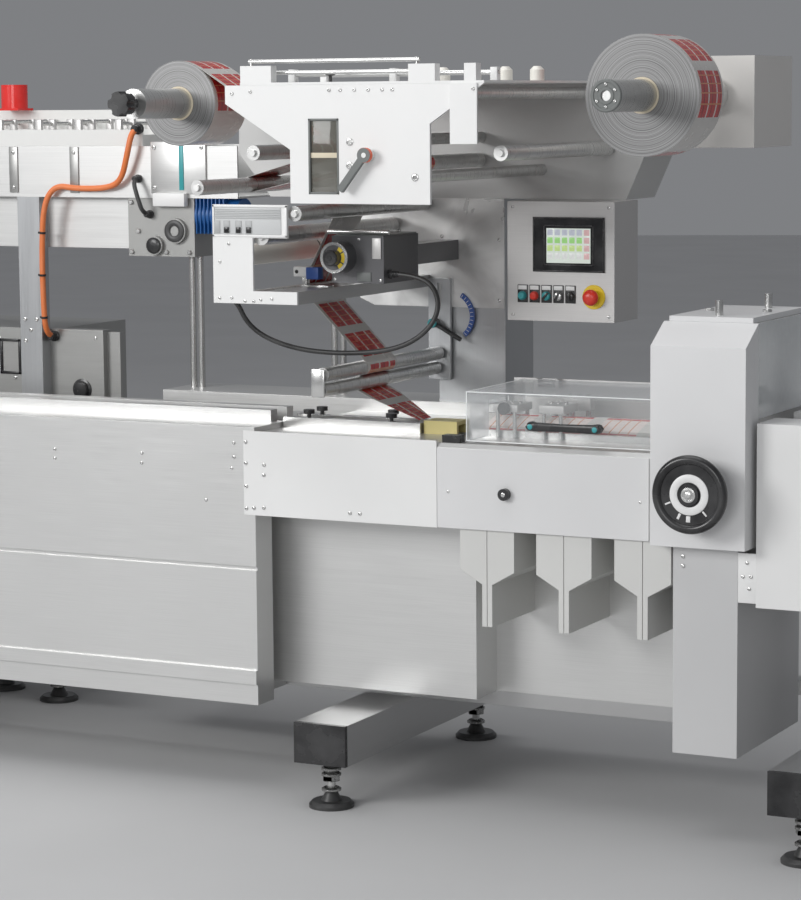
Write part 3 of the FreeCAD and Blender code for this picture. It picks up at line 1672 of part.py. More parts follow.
for label, boss_x, boss_z, boss_radius in gear_bosses:
    boss_place = (along(boss_x), gear_y[0] - s.gear_face, boss_z)
    gear_set.append(bar(label, "Y", boss_place, boss_radius, s.gear_face))
keep(fuse("gear_whole", *gear_set), "gear_unit")
motor_z = s.hopper_high - s.motor_radius
keep(
    bar(
        "drive_motor",
        "X",
        (gear_x[1], gear_y[0] + s.motor_radius, motor_z),
        s.motor_radius,
        s.motor_length,
    ),
    "feeder_motor",
)
props = []
for name, top in (("prop_one_x", s.gear_low), ("prop_two_x", s.boat_bottom)):
    for j in range(2):
        prop_x = along(getattr(s, name)) + s.prop_gap * j
        spot = (prop_x, across(s.prop_y), s.rear_top)
        props.append(bar(f"{name}_{j}", "Z", spot, s.prop_radius, top - s.rear_top))
keep(group("prop_set", props), "support_tubes")

# Clear guard with its hinge, handle and upstand
guard_x = (along(s.guard_left), tower_left - s.guard_end_gap)
guard_y = (across(s.guard_front), across(s.hinge_y) - s.hinge_eye - s.guard_wall)
upstand_y = (across(s.upstand_y), across(s.upstand_y) + s.upstand_thick)
upstand_x = (along(s.upstand_left), tower_left)
upstand = block("upstand", upstand_x, upstand_y, (s.bed_top, guard_top))
hood = block("hood", guard_x, guard_y, (guard_foot, guard_top))
hollow = block(
    "hood_hollow",
    (guard_x[0] + s.guard_wall, guard_x[1] - s.guard_wall),
    (guard_y[0] + s.guard_wall, guard_y[1] + s.guard_wall),
    (guard_foot - s.guard_wall, guard_top - s.guard_wall),
)
notch = block(
    "hood_notch",
    (guard_x[0] - s.guard_wall, guard_x[1] + s.guard_wall),
    (across(-s.guard_notch_half), across(s.guard_notch_half)),
    (guard_foot - s.guard_wall, guard_top - s.guard_notch_drop),
)
hood_shell = cut("hood_shell", hood, hollow, notch)
hinge_z = guard_top - s.hinge_eye
pins = []
eyes = []
pin_extra = s.ear_gap + s.ear_width
for i, share in enumerate((s.hinge_first, s.hinge_second)):
    hinge_x = guard_x[0] + (guard_x[1] - guard_x[0]) * share - s.hinge_length / 2
    axis_spot = (hinge_x, across(s.hinge_y), hinge_z)
    pin_spot = (hinge_x - pin_extra, axis_spot[1], hinge_z)
    pin_length = s.hinge_length + pin_extra * 2
    pins.append(bar(f"hinge_pin_{i}", "X", pin_spot, s.hinge_radius, pin_length))
    for side in (0, 1):
        ear_x = hinge_x + s.hinge_length + s.ear_gap if side else hinge_x - pin_extra
        ear = block(
            f"hinge_ear_{i}_{side}",
            (ear_x, ear_x + s.ear_width),
            (across(s.hinge_y) - s.hinge_eye / 2, upstand_y[0]),
            (hinge_z - s.hinge_eye, hinge_z + s.hinge_eye),
        )
        pins.append(ear)
    eye = [
        (s.hinge_radius + s.running_gap, 0),
        (s.hinge_eye, 0),
        (s.hinge_eye, s.hinge_length),
        (s.hinge_radius + s.running_gap, s.hinge_length),
    ]
    knuckle = turned(f"hinge_knuckle_{i}", eye, axis_spot, "X")
    leaf = block(
        f"hinge_leaf_{i}",
        (hinge_x, hinge_x + s.hinge_length),
        (guard_y[1] - s.guard_wall, across(s.hinge_y) - s.hinge_radius - s.leaf_gap),
        (guard_top - s.guard_wall, guard_top),
    )
    eyes += [knuckle, leaf]
keep(fuse("upstand_whole", upstand, *pins), "rear_upstand")
keep(fuse("cover_whole", hood_shell, *eyes), "guard_cover")
handle_x = (along(s.handle_left), along(s.handle_left) + s.handle_length)
handle_height = guard_top - s.handle_drop
handle_z = (handle_height - s.handle_half, handle_height + s.handle_half)
handle_y = guard_y[0] - s.handle_reach
grip = block("grip", handle_x, (handle_y, handle_y + s.handle_half), handle_z)
grip_feet = [grip]
for end in (handle_x[0], handle_x[1] - s.handle_half * 2):
    grip_feet.append(block("grip_foot", (end, end + s.handle_half * 2), (handle_y, guard_y[0]), handle_z))
keep(fuse("grip_whole", *grip_feet), "guard_handle")



# Hoses and the cable: straight runs joined by arcs that touch both
def run_end(corner, toward, distance):
    """The point a distance from a corner on its way to another point."""
    way = toward - corner
    return corner + way * (distance / way.Length)


def hose_shape(label):
    """A round tube along a hose's points."""
    total = len(HOSES[label][1])
    points = []
    for i in range(total):
        x, y, z = (SIZES[f"{label}_{axis}_{i}"] for axis in "xyz")
        points.append(Vector(SIZES["panel_x"] + x, SIZES["lane_y"] + y, z))
    edges = []
    here = points[0]
    for before, corner, after in zip(points, points[1:], points[2:]):
        cut_back = SIZES["bend_share"] * min((corner - before).Length, (after - corner).Length)
        start = run_end(corner, before, cut_back)
        end = run_end(corner, after, cut_back)
        half_turn = (corner - before).getAngle(after - corner) / 2
        radius = cut_back / math.tan(half_turn)
        to_middle = (start + end) / 2 - corner
        centre = corner + to_middle * (radius / math.cos(half_turn) / to_middle.Length)
        middle = run_end(centre, corner, radius)
        edges.append(Part.LineSegment(here, start).toShape())
        edges.append(Part.Arc(start, middle, end).toShape())
        here = end
    edges.append(Part.LineSegment(here, points[-1]).toShape())
    ring = Part.Circle(points[0], points[1] - points[0], SIZES[f"{label}_radius"]).toShape()
    return Part.Wire(edges).makePipeShell([Part.Wire([ring])], True, False)


for label in HOSES:
    hose = doc.addObject("Part::Feature", f"{label}_tube")
    hose.Shape = hose_shape(label)
    keep(hose, label)

doc.recompute()

# Check every object, then write each sub-part
for item in doc.Objects:
    if "Invalid" in item.State or "Error" in item.State:
        raise RuntimeError(f"{item.Name} failed: {item.State}")
os.makedirs("parts", exist_ok=True)
for label, item in nodes.items():
    shape = item.Shape
    if shape.isNull() or not shape.isValid() or not shape.Solids:
        raise RuntimeError(f"{label} has no valid solid")
    shape.exportStep(os.path.join("parts", f"{label}.step"))
print(f"{len(nodes)} sub-parts written")
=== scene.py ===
"""Looks for the biscuit packaging line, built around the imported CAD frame.

Places are given in millimetres in the machine's own axes: X from the white panel's left
edge, Y from the product's centre line and Z from the floor. at() turns them into metres
in the row frame.
"""
import math

import bmesh
import bpy
from mathutils import Matrix, Vector
from mathutils.bvhtree import BVHTree


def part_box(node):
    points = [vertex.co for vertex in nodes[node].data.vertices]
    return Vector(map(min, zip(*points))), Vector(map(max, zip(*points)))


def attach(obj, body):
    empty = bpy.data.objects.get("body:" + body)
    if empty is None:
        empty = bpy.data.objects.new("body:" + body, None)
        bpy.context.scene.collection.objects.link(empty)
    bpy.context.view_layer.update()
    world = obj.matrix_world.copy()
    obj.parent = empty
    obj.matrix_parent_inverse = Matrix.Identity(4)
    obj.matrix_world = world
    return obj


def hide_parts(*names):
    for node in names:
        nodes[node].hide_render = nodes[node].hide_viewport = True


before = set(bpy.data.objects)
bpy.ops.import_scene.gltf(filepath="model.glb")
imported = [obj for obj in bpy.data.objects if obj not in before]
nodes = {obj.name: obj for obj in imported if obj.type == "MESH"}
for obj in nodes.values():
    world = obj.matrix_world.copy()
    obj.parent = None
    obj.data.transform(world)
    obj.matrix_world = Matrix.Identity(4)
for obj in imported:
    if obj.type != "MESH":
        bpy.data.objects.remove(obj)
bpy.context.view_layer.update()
ROOT = "machine"

PANEL_DEPTH = 0.188
panel_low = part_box("front_panel")[0]
ORIGIN = Vector((panel_low.x, panel_low.y + PANEL_DEPTH, 0.0))


def at(x, y, z):
    """A place in millimetres on the machine as a point in the row frame."""
    return ORIGIN + Vector((x, y, z)) / 1000.0


# Camera
CAMERA_SPOT = (3431.1, -6118.0, 1700.0)
YAW, PITCH, ROLL = (math.radians(a) for a in (26.83, 7.11, -0.48))
forward = Vector(
    (-math.sin(YAW) * math.cos(PITCH), math.cos(YAW) * math.cos(PITCH), -math.sin(PITCH))
)
level_right = Vector((math.cos(YAW), math.sin(YAW), 0.0))
level_up = level_right.cross(forward)
right = level_right * math.cos(ROLL) + level_up * math.sin(ROLL)
up = level_up * math.cos(ROLL) - level_right * math.sin(ROLL)
camera_data = bpy.data.cameras.new("camera")
camera_data.lens = 112.5
camera_data.sensor_width = 36.0
camera_data.clip_end = 60.0
camera = bpy.data.objects.new("camera", camera_data)
bpy.context.scene.collection.objects.link(camera)
camera.matrix_world = Matrix.Translation(at(*CAMERA_SPOT)) @ Matrix(
    (right, up, -forward)
).transposed().to_4x4()
bpy.context.scene.camera = camera


# Shaders
class Shader:
    """A material under construction: its node tree and its surface node."""

    def __init__(self, name):
        self.material = bpy.data.materials.new(name)
        self.material.use_nodes = True
        self.tree = self.material.node_tree
        self.surface = self.tree.nodes["Principled BSDF"]

    def add(self, kind, **values):
        node = self.tree.nodes.new(f"ShaderNode{kind}")
        for key, value in values.items():
            setattr(node, key, value)
        return node

    def link(self, source, target):
        self.tree.links.new(source, target)

    def set(self, name, value):
        self.surface.inputs[name].default_value = value


def coordinates(shader, scale):
    """Object coordinates stretched by scale."""
    place = shader.add("TexCoord")
    mapping = shader.add("Mapping")
    mapping.inputs["Scale"].default_value = scale
    shader.link(place.outputs["Object"], mapping.inputs["Vector"])
    return mapping.outputs["Vector"]


def noise(shader, scale, size, detail=3.0, rough=0.5):
    """A noise value over the surface."""
    texture = shader.add("TexNoise")
    texture.inputs["Scale"].default_value = size
    texture.inputs["Detail"].default_value = detail
    texture.inputs["Roughness"].default_value = rough
    shader.link(coordinates(shader, scale), texture.inputs["Vector"])
    return texture.outputs["Fac"]


def ramp(shader, value, low, high):
    """A value from 0..1 spread to low..high."""
    spread = shader.add("MapRange")
    spread.inputs["From Min"].default_value = 0.3
    spread.inputs["From Max"].default_value = 0.7
    spread.inputs["To Min"].default_value = low
    spread.inputs["To Max"].default_value = high
    shader.link(value, spread.inputs["Value"])
    return spread.outputs["Result"]


def tint(shader, value, dark, light):
    """A colour between two colours by a noise value."""
    mix = shader.add("Mix", data_type="RGBA")
    mix.inputs["A"].default_value = (*dark, 1.0)
    mix.inputs["B"].default_value = (*light, 1.0)
    shader.link(ramp(shader, value, 0.0, 1.0), mix.inputs["Factor"])
    return mix.outputs["Result"]


def relief(shader, value, depth, edge):
    """Bump from a value, on normals that round the edges by a radius in metres."""
    bevel = shader.add("Bevel", samples=4)
    bevel.inputs["Radius"].default_value = edge
    bump = shader.add("Bump")
    bump.inputs["Strength"].default_value = 1.0
    bump.inputs["Distance"].default_value = depth
    shader.link(value, bump.inputs["Height"])
    shader.link(bevel.outputs["Normal"], bump.inputs["Normal"])
    shader.link(bump.outputs["Normal"], shader.surface.inputs["Normal"])


def shade(colour, factor):
    return tuple(min(1.0, c * factor) for c in colour)


def brushed(name, colour, rough=0.34, scale=(6.0, 900.0, 900.0), edge=0.0015, metal=0.75):
    """Brushed steel with its grain along the axis that has the smallest scale."""
    s = Shader(name)
    grain = noise(s, scale, 1.0, 3.0, 0.6)
    cloud = noise(s, (1.0, 1.0, 1.0), 1.6, 2.0)
    base = tint(s, grain, shade(colour, 0.95), shade(colour, 1.04))
    mix = s.add("Mix", data_type="RGBA", blend_type="MULTIPLY")
    mix.inputs["Factor"].default_value = 0.5
    s.link(base, mix.inputs["A"])
    s.link(tint(s, cloud, (0.9, 0.9, 0.9), (1.0, 1.0, 1.0)), mix.inputs["B"])
    s.link(mix.outputs["Result"], s.surface.inputs["Base Color"])
    s.set("Metallic", metal)
    s.link(ramp(s, grain, rough - 0.06, rough + 0.08), s.surface.inputs["Roughness"])
    relief(s, grain, 0.00001, edge)
    return s.material


def painted(name, colour, rough=0.42, edge=0.0015, peel=0.00004, metal=0.0):
    """Sprayed paint: a faint cloudiness and a fine orange peel."""
    s = Shader(name)
    cloud = noise(s, (1.0, 1.0, 1.0), 3.0, 3.0)
    s.link(tint(s, cloud, shade(colour, 0.96), shade(colour, 1.02)), s.surface.inputs["Base Color"])
    s.set("Metallic", metal)
    s.link(ramp(s, cloud, rough - 0.04, rough + 0.05), s.surface.inputs["Roughness"])
    relief(s, noise(s, (1.0, 1.0, 1.0), 420.0, 2.0), peel, edge)
    return s.material


def moulded(name, colour, rough=0.35, edge=0.001, grain=0.00003):
    """Moulded plastic or rubber with a fine grain and slight dust."""
    s = Shader(name)
    dust = noise(s, (1.0, 1.0, 1.0), 14.0, 4.0)
    light = tuple(c + (1.0 - c) * 0.04 for c in colour)
    s.link(tint(s, dust, colour, light), s.surface.inputs["Base Color"])
    s.link(ramp(s, dust, rough - 0.04, rough + 0.07), s.surface.inputs["Roughness"])
    relief(s, noise(s, (1.0, 1.0, 1.0), 900.0, 2.0), grain, edge)
    return s.material


def turned_metal(name, colour, rough=0.22, size=500.0, axis=1, metal=0.85):
    """Turned steel or aluminium: fine rings round the axis."""
    s = Shader(name)
    scale = [3.0, 3.0, 3.0]
    scale[axis] = size
    rings = noise(s, tuple(scale), 1.0, 3.0)
    s.link(tint(s, rings, shade(colour, 0.92), shade(colour, 1.05)), s.surface.inputs["Base Color"])
    s.set("Metallic", metal)
    s.link(ramp(s, rings, rough - 0.05, rough + 0.08), s.surface.inputs["Roughness"])
    relief(s, rings, 0.00002, 0.0008)
    return s.material


def clear(name, colour, body=0.1, edge_body=0.65, rough=0.06):
    """Clear acrylic sheet: see-through face on, bright towards its edges."""
    s = Shader(name)
    weight = s.add("LayerWeight")
    weight.inputs["Blend"].default_value = 0.35
    spread = s.add("MapRange")
    spread.inputs["To Min"].default_value = body
    spread.inputs["To Max"].default_value = edge_body
    s.link(weight.outputs["Facing"], spread.inputs["Value"])
    s.link(spread.outputs["Result"], s.surface.inputs["Alpha"])
    scratch = noise(s, (1.0, 1.0, 1.0), 60.0, 5.0)
    s.link(tint(s, scratch, shade(colour, 0.95), colour), s.surface.inputs["Base Color"])
    s.link(ramp(s, scratch, rough - 0.02, rough + 0.05), s.surface.inputs["Roughness"])
    s.set("IOR", 1.49)
    return s.material


def wound(name, colour, centre):
    """The edge of a wound reel: fine rings round its centre, over a printed film's face."""
    s = Shader(name)
    place = s.add("TexCoord")
    shift = s.add("VectorMath", operation="SUBTRACT")
    shift.inputs[1].default_value = centre
    flat = s.add("VectorMath", operation="MULTIPLY")
    flat.inputs[1].default_value = (1.0, 0.0, 1.0)
    length = s.add("VectorMath", operation="LENGTH")
    s.link(place.outputs["Object"], shift.inputs[0])
    s.link(shift.outputs["Vector"], flat.inputs[0])
    s.link(flat.outputs["Vector"], length.inputs[0])
    rings = s.add("TexNoise", noise_dimensions="1D")
    rings.inputs["Scale"].default_value = 420.0
    rings.inputs["Detail"].default_value = 5.0
    s.link(length.outputs["Value"], rings.inputs["W"])
    side = tint(s, rings.outputs["Fac"], shade(colour, 0.55), shade(colour, 1.5))
    s.link(side, s.surface.inputs["Base Color"])
    s.set("Metallic", 0.55)
    s.link(ramp(s, rings.outputs["Fac"], 0.3, 0.5), s.surface.inputs["Roughness"])
    relief(s, rings.outputs["Fac"], 0.0001, 0.001)
    return s.material


def stripes(shader, value, count, low, high):
    """1 where a repeating 0..1 place lies between low and high."""
    repeat = shader.add("Math", operation="MULTIPLY")
    repeat.inputs[1].default_value = count
    shader.link(value, repeat.inputs[0])
    part = shader.add("Math", operation="FRACT")
    shader.link(repeat.outputs["Value"], part.inputs[0])
    above = shader.add("Math", operation="GREATER_THAN")
    above.inputs[1].default_value = low
    below = shader.add("Math", operation="LESS_THAN")
    below.inputs[1].default_value = high
    both = shader.add("Math", operation="MULTIPLY")
    shader.link(part.outputs["Value"], above.inputs[0])
    shader.link(part.outputs["Value"], below.inputs[0])
    shader.link(above.outputs["Value"], both.inputs[0])
    shader.link(below.outputs["Value"], both.inputs[1])
    return both.outputs["Value"]


def blend_colour(shader, factor, first, second):
    """One colour where the factor is 0 and the other where it is 1."""
    mix = shader.add("Mix", data_type="RGBA")
    shader.link(factor, mix.inputs["Factor"])
    for socket, colour in (("A", first), ("B", second)):
        if isinstance(colour, tuple):
            mix.inputs[socket].default_value = (*colour, 1.0)
        else:
            shader.link(colour, mix.inputs[socket])
    return mix.outputs["Result"]


def printed_film(name, low_y, high_y, rough=0.2):
    """Clear-coated film: red blocks with pale bands, gold lines and silver margins."""
    s = Shader(name)
    place = s.add("TexCoord")
    split = s.add("SeparateXYZ")
    s.link(place.outputs["Object"], split.inputs["Vector"])
    width = s.add("MapRange")
    width.inputs["From Min"].default_value = low_y
    width.inputs["From Max"].default_value = high_y
    s.link(split.outputs["Y"], width.inputs["Value"])
    run = s.add("Math", operation="SUBTRACT")
    s.link(split.outputs["X"], run.inputs[0])
    s.link(split.outputs["Z"], run.inputs[1])
    across_film = width.outputs["Result"]
    along_film = run.outputs["Value"]
    red = tint(s, noise(s, (1.0, 1.0, 1.0), 30.0, 3.0), (0.46, 0.015, 0.02), (0.62, 0.04, 0.035))
    silver = (0.62, 0.60, 0.57)
    pale = (0.80, 0.70, 0.66)
    dark = (0.22, 0.012, 0.018)
    print_area = blend_colour(s, stripes(s, across_film, 3.0, 0.12, 0.26), red, pale)
    print_area = blend_colour(s, stripes(s, across_film, 3.0, 0.60, 0.68), print_area, dark)
    print_area = blend_colour(s, stripes(s, along_film, 42.0, 0.0, 0.12), print_area, (0.66, 0.26, 0.12))
    banded = blend_colour(s, stripes(s, along_film, 7.0, 0.0, 0.24), print_area, silver)
    whole = blend_colour(s, stripes(s, across_film, 1.0, 0.07, 0.93), silver, banded)
    s.link(whole, s.surface.inputs["Base Color"])
    crease = noise(s, (1.0, 1.0, 1.0), 26.0, 3.0)
    s.link(ramp(s, crease, rough - 0.06, rough + 0.12), s.surface.inputs["Roughness"])
    s.set("Coat Weight", 0.4)
    s.set("Coat Roughness", 0.12)
    relief(s, crease, 0.0006, 0.0005)
    return s.material


def engine_turned(name, colour):
    """Steel polished by hand in broad soft swirls."""
    s = Shader(name)
    swirl = s.add("TexNoise")
    swirl.inputs["Scale"].default_value = 7.0
    swirl.inputs["Detail"].default_value = 4.0
    swirl.inputs["Distortion"].default_value = 1.6
    s.link(coordinates(s, (1.0, 1.0, 1.0)), swirl.inputs["Vector"])
    fine = noise(s, (1.0, 1.0, 1.0), 60.0, 4.0, 0.6)
    base = tint(s, swirl.outputs["Fac"], shade(colour, 0.8), shade(colour, 1.12))
    s.link(base, s.surface.inputs["Base Color"])
    s.set("Metallic", 0.6)
    s.link(ramp(s, swirl.outputs["Fac"], 0.26, 0.42), s.surface.inputs["Roughness"])
    relief(s, fine, 0.0001, 0.002)
    return s.material


def painted_glow_edge(name, colour, alpha=0.75):
    """The cut edge of clear acrylic: pale, with a faint painted glow."""
    s = Shader(name)
    haze = noise(s, (1.0, 1.0, 1.0), 80.0, 3.0)
    s.link(tint(s, haze, shade(colour, 0.92), colour), s.surface.inputs["Base Color"])
    s.set("Alpha", alpha)
    s.set("Roughness", 0.15)
    # Painted glow: the edge emits a little light in its own colour.
    s.set("Emission Color", (*colour, 1.0))
    s.set("Emission Strength", 0.12)
    return s.material


def lit(name, colour, strength=0.6):
    """A lit area of a display."""
    s = Shader(name)
    grid = noise(s, (1.0, 1.0, 1.0), 500.0, 1.0)
    glow = tint(s, grid, shade(colour, 0.93), colour)
    s.link(glow, s.surface.inputs["Base Color"])
    s.link(glow, s.surface.inputs["Emission Color"])
    s.set("Emission Strength", strength)
    s.set("Roughness", 0.2)
    return s.material


M = {}


def add_materials(maker, settings):
    """Make materials that share a maker; settings are its values after the name."""
    for name, values in settings.items():
        M[name] = maker(name, *values)


add_materials(
    brushed,
    {
        "infeed_steel": ((0.73, 0.73, 0.72), 0.36),
        "frame_steel": ((0.50, 0.50, 0.50), 0.34, (900.0, 6.0, 900.0)),
        "post_steel": ((0.50, 0.51, 0.52), 0.34, (900.0, 900.0, 6.0)),
        "cabinet_steel": ((0.70, 0.70, 0.69), 0.38),
        "feeder_steel": ((0.42, 0.42, 0.41), 0.4),
    },
)
M["panel_grey"] = brushed("panel_grey", (0.60, 0.59, 0.58), 0.4, metal=0.5)
add_materials(
    painted,
    {
        "white_paint": ((0.83, 0.83, 0.82),),
        "panel_white": ((0.80, 0.80, 0.79),),
        "door_white": ((0.70, 0.70, 0.70),),
        "tower_paint": ((0.73, 0.73, 0.73), 0.38),
        "post_paint": ((0.58, 0.58, 0.58), 0.38),
        "housing_paint": ((0.64, 0.64, 0.62), 0.45),
        "box_paint": ((0.72, 0.70, 0.67), 0.4),
        "dark_metal": ((0.055, 0.055, 0.055), 0.4),
        "grey_metal": ((0.16, 0.17, 0.165), 0.45),
        "folding_yellow": ((0.72, 0.62, 0.27), 0.35),
        "motor_blue": ((0.012, 0.10, 0.32), 0.4),
        "switch_grey": ((0.60, 0.61, 0.61), 0.45),
        "switch_line": ((0.42, 0.43, 0.43), 0.45),
    },
)
M["boat_paint"] = painted("boat_paint", (0.56, 0.56, 0.55), 0.36, metal=0.2)
M["head_metal"] = painted("head_metal", (0.12, 0.12, 0.125), 0.32, metal=0.5)
M["cast_metal"] = painted("cast_metal", (0.36, 0.36, 0.35), 0.42, peel=0.0006, metal=0.5)
add_materials(
    turned_metal,
    {
        "bare_metal": ((0.62, 0.62, 0.61),),
        "aluminium": ((0.66, 0.66, 0.65), 0.3),
    },
)
add_materials(
    moulded,
    {
        "black_plastic": ((0.012, 0.012, 0.013), 0.25),
        "foot_rubber": ((0.02, 0.02, 0.02), 0.35),
        "hose_black": ((0.018, 0.018, 0.018), 0.4),
        "cable_orange": ((0.78, 0.20, 0.05), 0.45),
        "belt_rubber": ((0.10, 0.10, 0.11), 0.6),
        "roller_cream": ((0.74, 0.72, 0.66), 0.4),
        "beacon_red": ((0.75, 0.02, 0.015), 0.15),
        "lane_white": ((0.76, 0.76, 0.74), 0.4),
        "cream_card": ((0.70, 0.62, 0.47), 0.7),
        "white_plastic": ((0.80, 0.80, 0.79), 0.35),
        "red_plastic": ((0.70, 0.03, 0.012), 0.3),
        "orange_plastic": ((0.80, 0.10, 0.02), 0.35),
        "yellow_plastic": ((0.85, 0.62, 0.02), 0.35),
        "teal_plastic": ((0.02, 0.32, 0.34), 0.35),
        "blue_plastic": ((0.025, 0.09, 0.36), 0.35),
        "dome_cream": ((0.76, 0.74, 0.68), 0.3),
    },
)
M["black_gloss"] = moulded("black_gloss", (0.01, 0.01, 0.011), 0.12, grain=0.0)
M["film_red"] = printed_film("film_red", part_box("film_web")[0].y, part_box("film_web")[1].y)
M["tube_red"] = printed_film("tube_red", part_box("film_tube")[0].y - 0.06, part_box("film_tube")[1].y + 0.06)
add_materials(
    clear,
    {
        "clear_guard": ((0.90, 0.93, 0.94),),
        "smoke_pane": ((0.16, 0.155, 0.13), 0.62, 0.85),
    },
)
M["clear_edge"] = painted_glow_edge("clear_edge", (0.93, 0.95, 0.95))
M["polished_plate"] = engine_turned("polished_plate", (0.72, 0.72, 0.71))
add_materials(
    lit,
    {
        "screen_light": ((0.62, 0.68, 0.62), 0.45),
        "key_green": ((0.36, 0.72, 0.24), 0.3),
        "key_yellow": ((0.58, 0.76, 0.30), 0.3),
        "key_grey": ((0.55, 0.58, 0.66), 0.3),
        "key_pale": ((0.74, 0.76, 0.74), 0.3),
        "key_red": ((0.70, 0.45, 0.45), 0.3),
    },
)

FINISH = {
    "cabinet_steel": ["base_cabinet", "bed_body", "feeder_trough", "rear_upstand"],
    "feeder_steel": ["feeder_cabinet"],
    "infeed_steel": ["infeed_body", "infeed_rails"],
    "frame_steel": ["base_frame", "printer_bed"],
    "post_steel": ["column", "feeder_leg", "pair_bracket"],
    "polished_plate": ["column_plate"],
    "white_paint": ["front_carrier", "printer_plate", "top_deck"],
    "box_paint": ["end_box"],
    "boat_paint": ["main_beam"],
    "panel_white": ["front_panel", "discharge_body"],
    "door_white": ["sealing_door"],
    "tower_paint": ["sealing_tower", "tower_lid"],
    "post_paint": ["post"],
    "housing_paint": ["drive_housings"],
    "dark_metal": ["infeed_chain"],
    "head_metal": ["print_head"],
    "cast_metal": ["gear_unit"],
    "grey_metal": ["clamp_lever"],
    "bare_metal": ["bed_guides", "foot_screws", "sealing_jaws", "support_tubes"],
    "aluminium": ["guide_rollers", "left_reel_shaft", "right_reel_shaft"],
    "black_plastic": ["beam_end_caps", "black_knobs", "guard_handle", "handwheel", "panel_buttons"],
    "black_gloss": ["touch_screen"],
    "foot_rubber": ["foot_pads"],
    "belt_rubber": ["discharge_belt"],
    "film_red": ["film_web"],
    "tube_red": ["film_tube"],
    "folding_yellow": ["folding_box"],
    "clear_guard": ["guard_cover", "tower_windows"],
    "roller_cream": ["print_roller"],
    "panel_grey": ["operator_box"],
    "beacon_red": ["beacon"],
    "motor_blue": ["feeder_motor"],
    "lane_white": ["lane_table"],
}


def dress(piece, *materials):
    """Give an object its materials, by slot."""
    piece.data.materials.clear()
    for material in materials:
        piece.data.materials.append(material)


for finish, dressed in FINISH.items():
    for node in dressed:
        dress(nodes[node], M[finish])

for reel in ("left_reel", "right_reel"):
    low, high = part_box(reel)
    centre = (low + high) / 2
    edge = wound(f"{reel}_edge", (0.21, 0.21, 0.21), centre)
    dress(nodes[reel], edge, M["film_red"], M["cream_card"])
    for face in nodes[reel].data.polygons:
        middle = face.center - centre
        distance = math.hypot(middle.x, middle.z)
        if distance < 0.0425:
            face.material_index = 2
        elif abs(face.normal.y) < 0.5:
            face.material_index = 1


# Pieces
def add_piece(name, mesh, material, body=ROOT, smooth=True):
    """Link a mesh as a piece that rides on a body."""
    piece = bpy.data.objects.new(name, mesh)
    bpy.context.scene.collection.objects.link(piece)
    if material is not None:
        mesh.materials.append(material)
    if smooth:
        for face in mesh.polygons:
            face.use_smooth = True
        mesh.set_sharp_from_angle(angle=math.radians(35))
    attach(piece, body)
    return piece


def from_bmesh(name, bm, material, body=ROOT, smooth=True):
    bmesh.ops.recalc_face_normals(bm, faces=bm.faces)
    mesh = bpy.data.meshes.new(name)
    bm.to_mesh(mesh)
    bm.free()
    return add_piece(name, mesh, material, body, smooth)


def box_into(bm, low, high, bevel=0.0, segments=2):
    """A box between two points, with its edges rounded."""
    made = bmesh.ops.create_cube(bm, size=1.0)
    verts = made["verts"]
    size = Vector(high) - Vector(low)
    middle = (Vector(high) + Vector(low)) / 2
    for v in verts:
        v.co = Vector((v.co.x * size.x, v.co.y * size.y, v.co.z * size.z)) + middle
    if bevel:
        edges = list({e for v in verts for e in v.link_edges})
        bmesh.ops.bevel(
            bm, geom=edges, offset=bevel, segments=segments, profile=0.5, affect="EDGES"
        )


def axis_turn(direction):
    """The rotation that takes +Z to a direction."""
    return Vector((0.0, 0.0, 1.0)).rotation_difference(Vector(direction).normalized())


def lathe_into(bm, outline, spot, direction, steps=32):
    """A turned form from (radius, distance) points along a direction."""
    turn = axis_turn(direction).to_matrix()
    rings = []
    for radius, distance in outline:
        if radius <= 1e-6:
            rings.append([bm.verts.new(turn @ Vector((0, 0, distance)) + spot)])
            continue
        ring = []
        for i in range(steps):
            angle = 2 * math.pi * i / steps
            local = Vector((radius * math.cos(angle), radius * math.sin(angle), distance))
            ring.append(bm.verts.new(turn @ local + spot))
        rings.append(ring)
    for a, b in zip(rings, rings[1:]):
        if len(a) == 1 and len(b) == 1:
            continue
        for i in range(steps):
            j = (i + 1) % steps
            if len(a) == 1:
                bm.faces.new((a[0], b[j], b[i]))
            elif len(b) == 1:
                bm.faces.new((a[i], a[j], b[0]))
            else:
                bm.faces.new((a[i], a[j], b[j], b[i]))


def lathe(name, outline, spot, direction, material, body=ROOT, steps=48):
    bm = bmesh.new()
    scaled = [(r / 1000.0, d / 1000.0) for r, d in outline]
    lathe_into(bm, scaled, at(*spot), direction, steps)
    return from_bmesh(name, bm, material, body)


# Hoses and the feeder's cable
HOSES = {
    "printer_hose": (
        12.0,
        "hose_black",
        [
            (28, -334, 1238),
            (28, -270, 1238),
            (50, -236, 1152),
            (150, -212, 1106),
            (295, -200, 1096),
            (436, -190, 1112),
            (512, -172, 1166),
            (522, -150, 1232),
            (462, -120, 1285),
            (372, -120, 1285),
        ],
    ),
    "feeder_cable": (
        16.0,
        "cable_orange",
        [
            (-652, 400, 1626),
            (-652, 368, 1626),
            (-668, 366, 1560),
            (-694, 376, 1488),
            (-742, 382, 1466),
            (-846, 384, 1464),
            (-912, 382, 1474),
            (-950, 378, 1424),
            (-962, 382, 1300),
            (-964, 386, 1160),
            (-964, 394, 1052),
            (-964, 440, 1052),
        ],
    ),
    "gear_hose": (
        12.0,
        "hose_black",
        [
            (-654, 400, 1492),
            (-654, 368, 1492),
            (-636, 362, 1444),
            (-622, 368, 1396),
            (-622, 405, 1396),
        ],
    ),
}


def route_into(curve, points):
    """The hose's route as one smooth spline with these control points."""
    spline = curve.splines.new("NURBS")
    spline.points.add(len(points) - 1)
    for control, point in zip(spline.points, points):
        control.co = (*at(*point), 1.0)
    spline.order_u = 3
    spline.use_endpoint_u = True


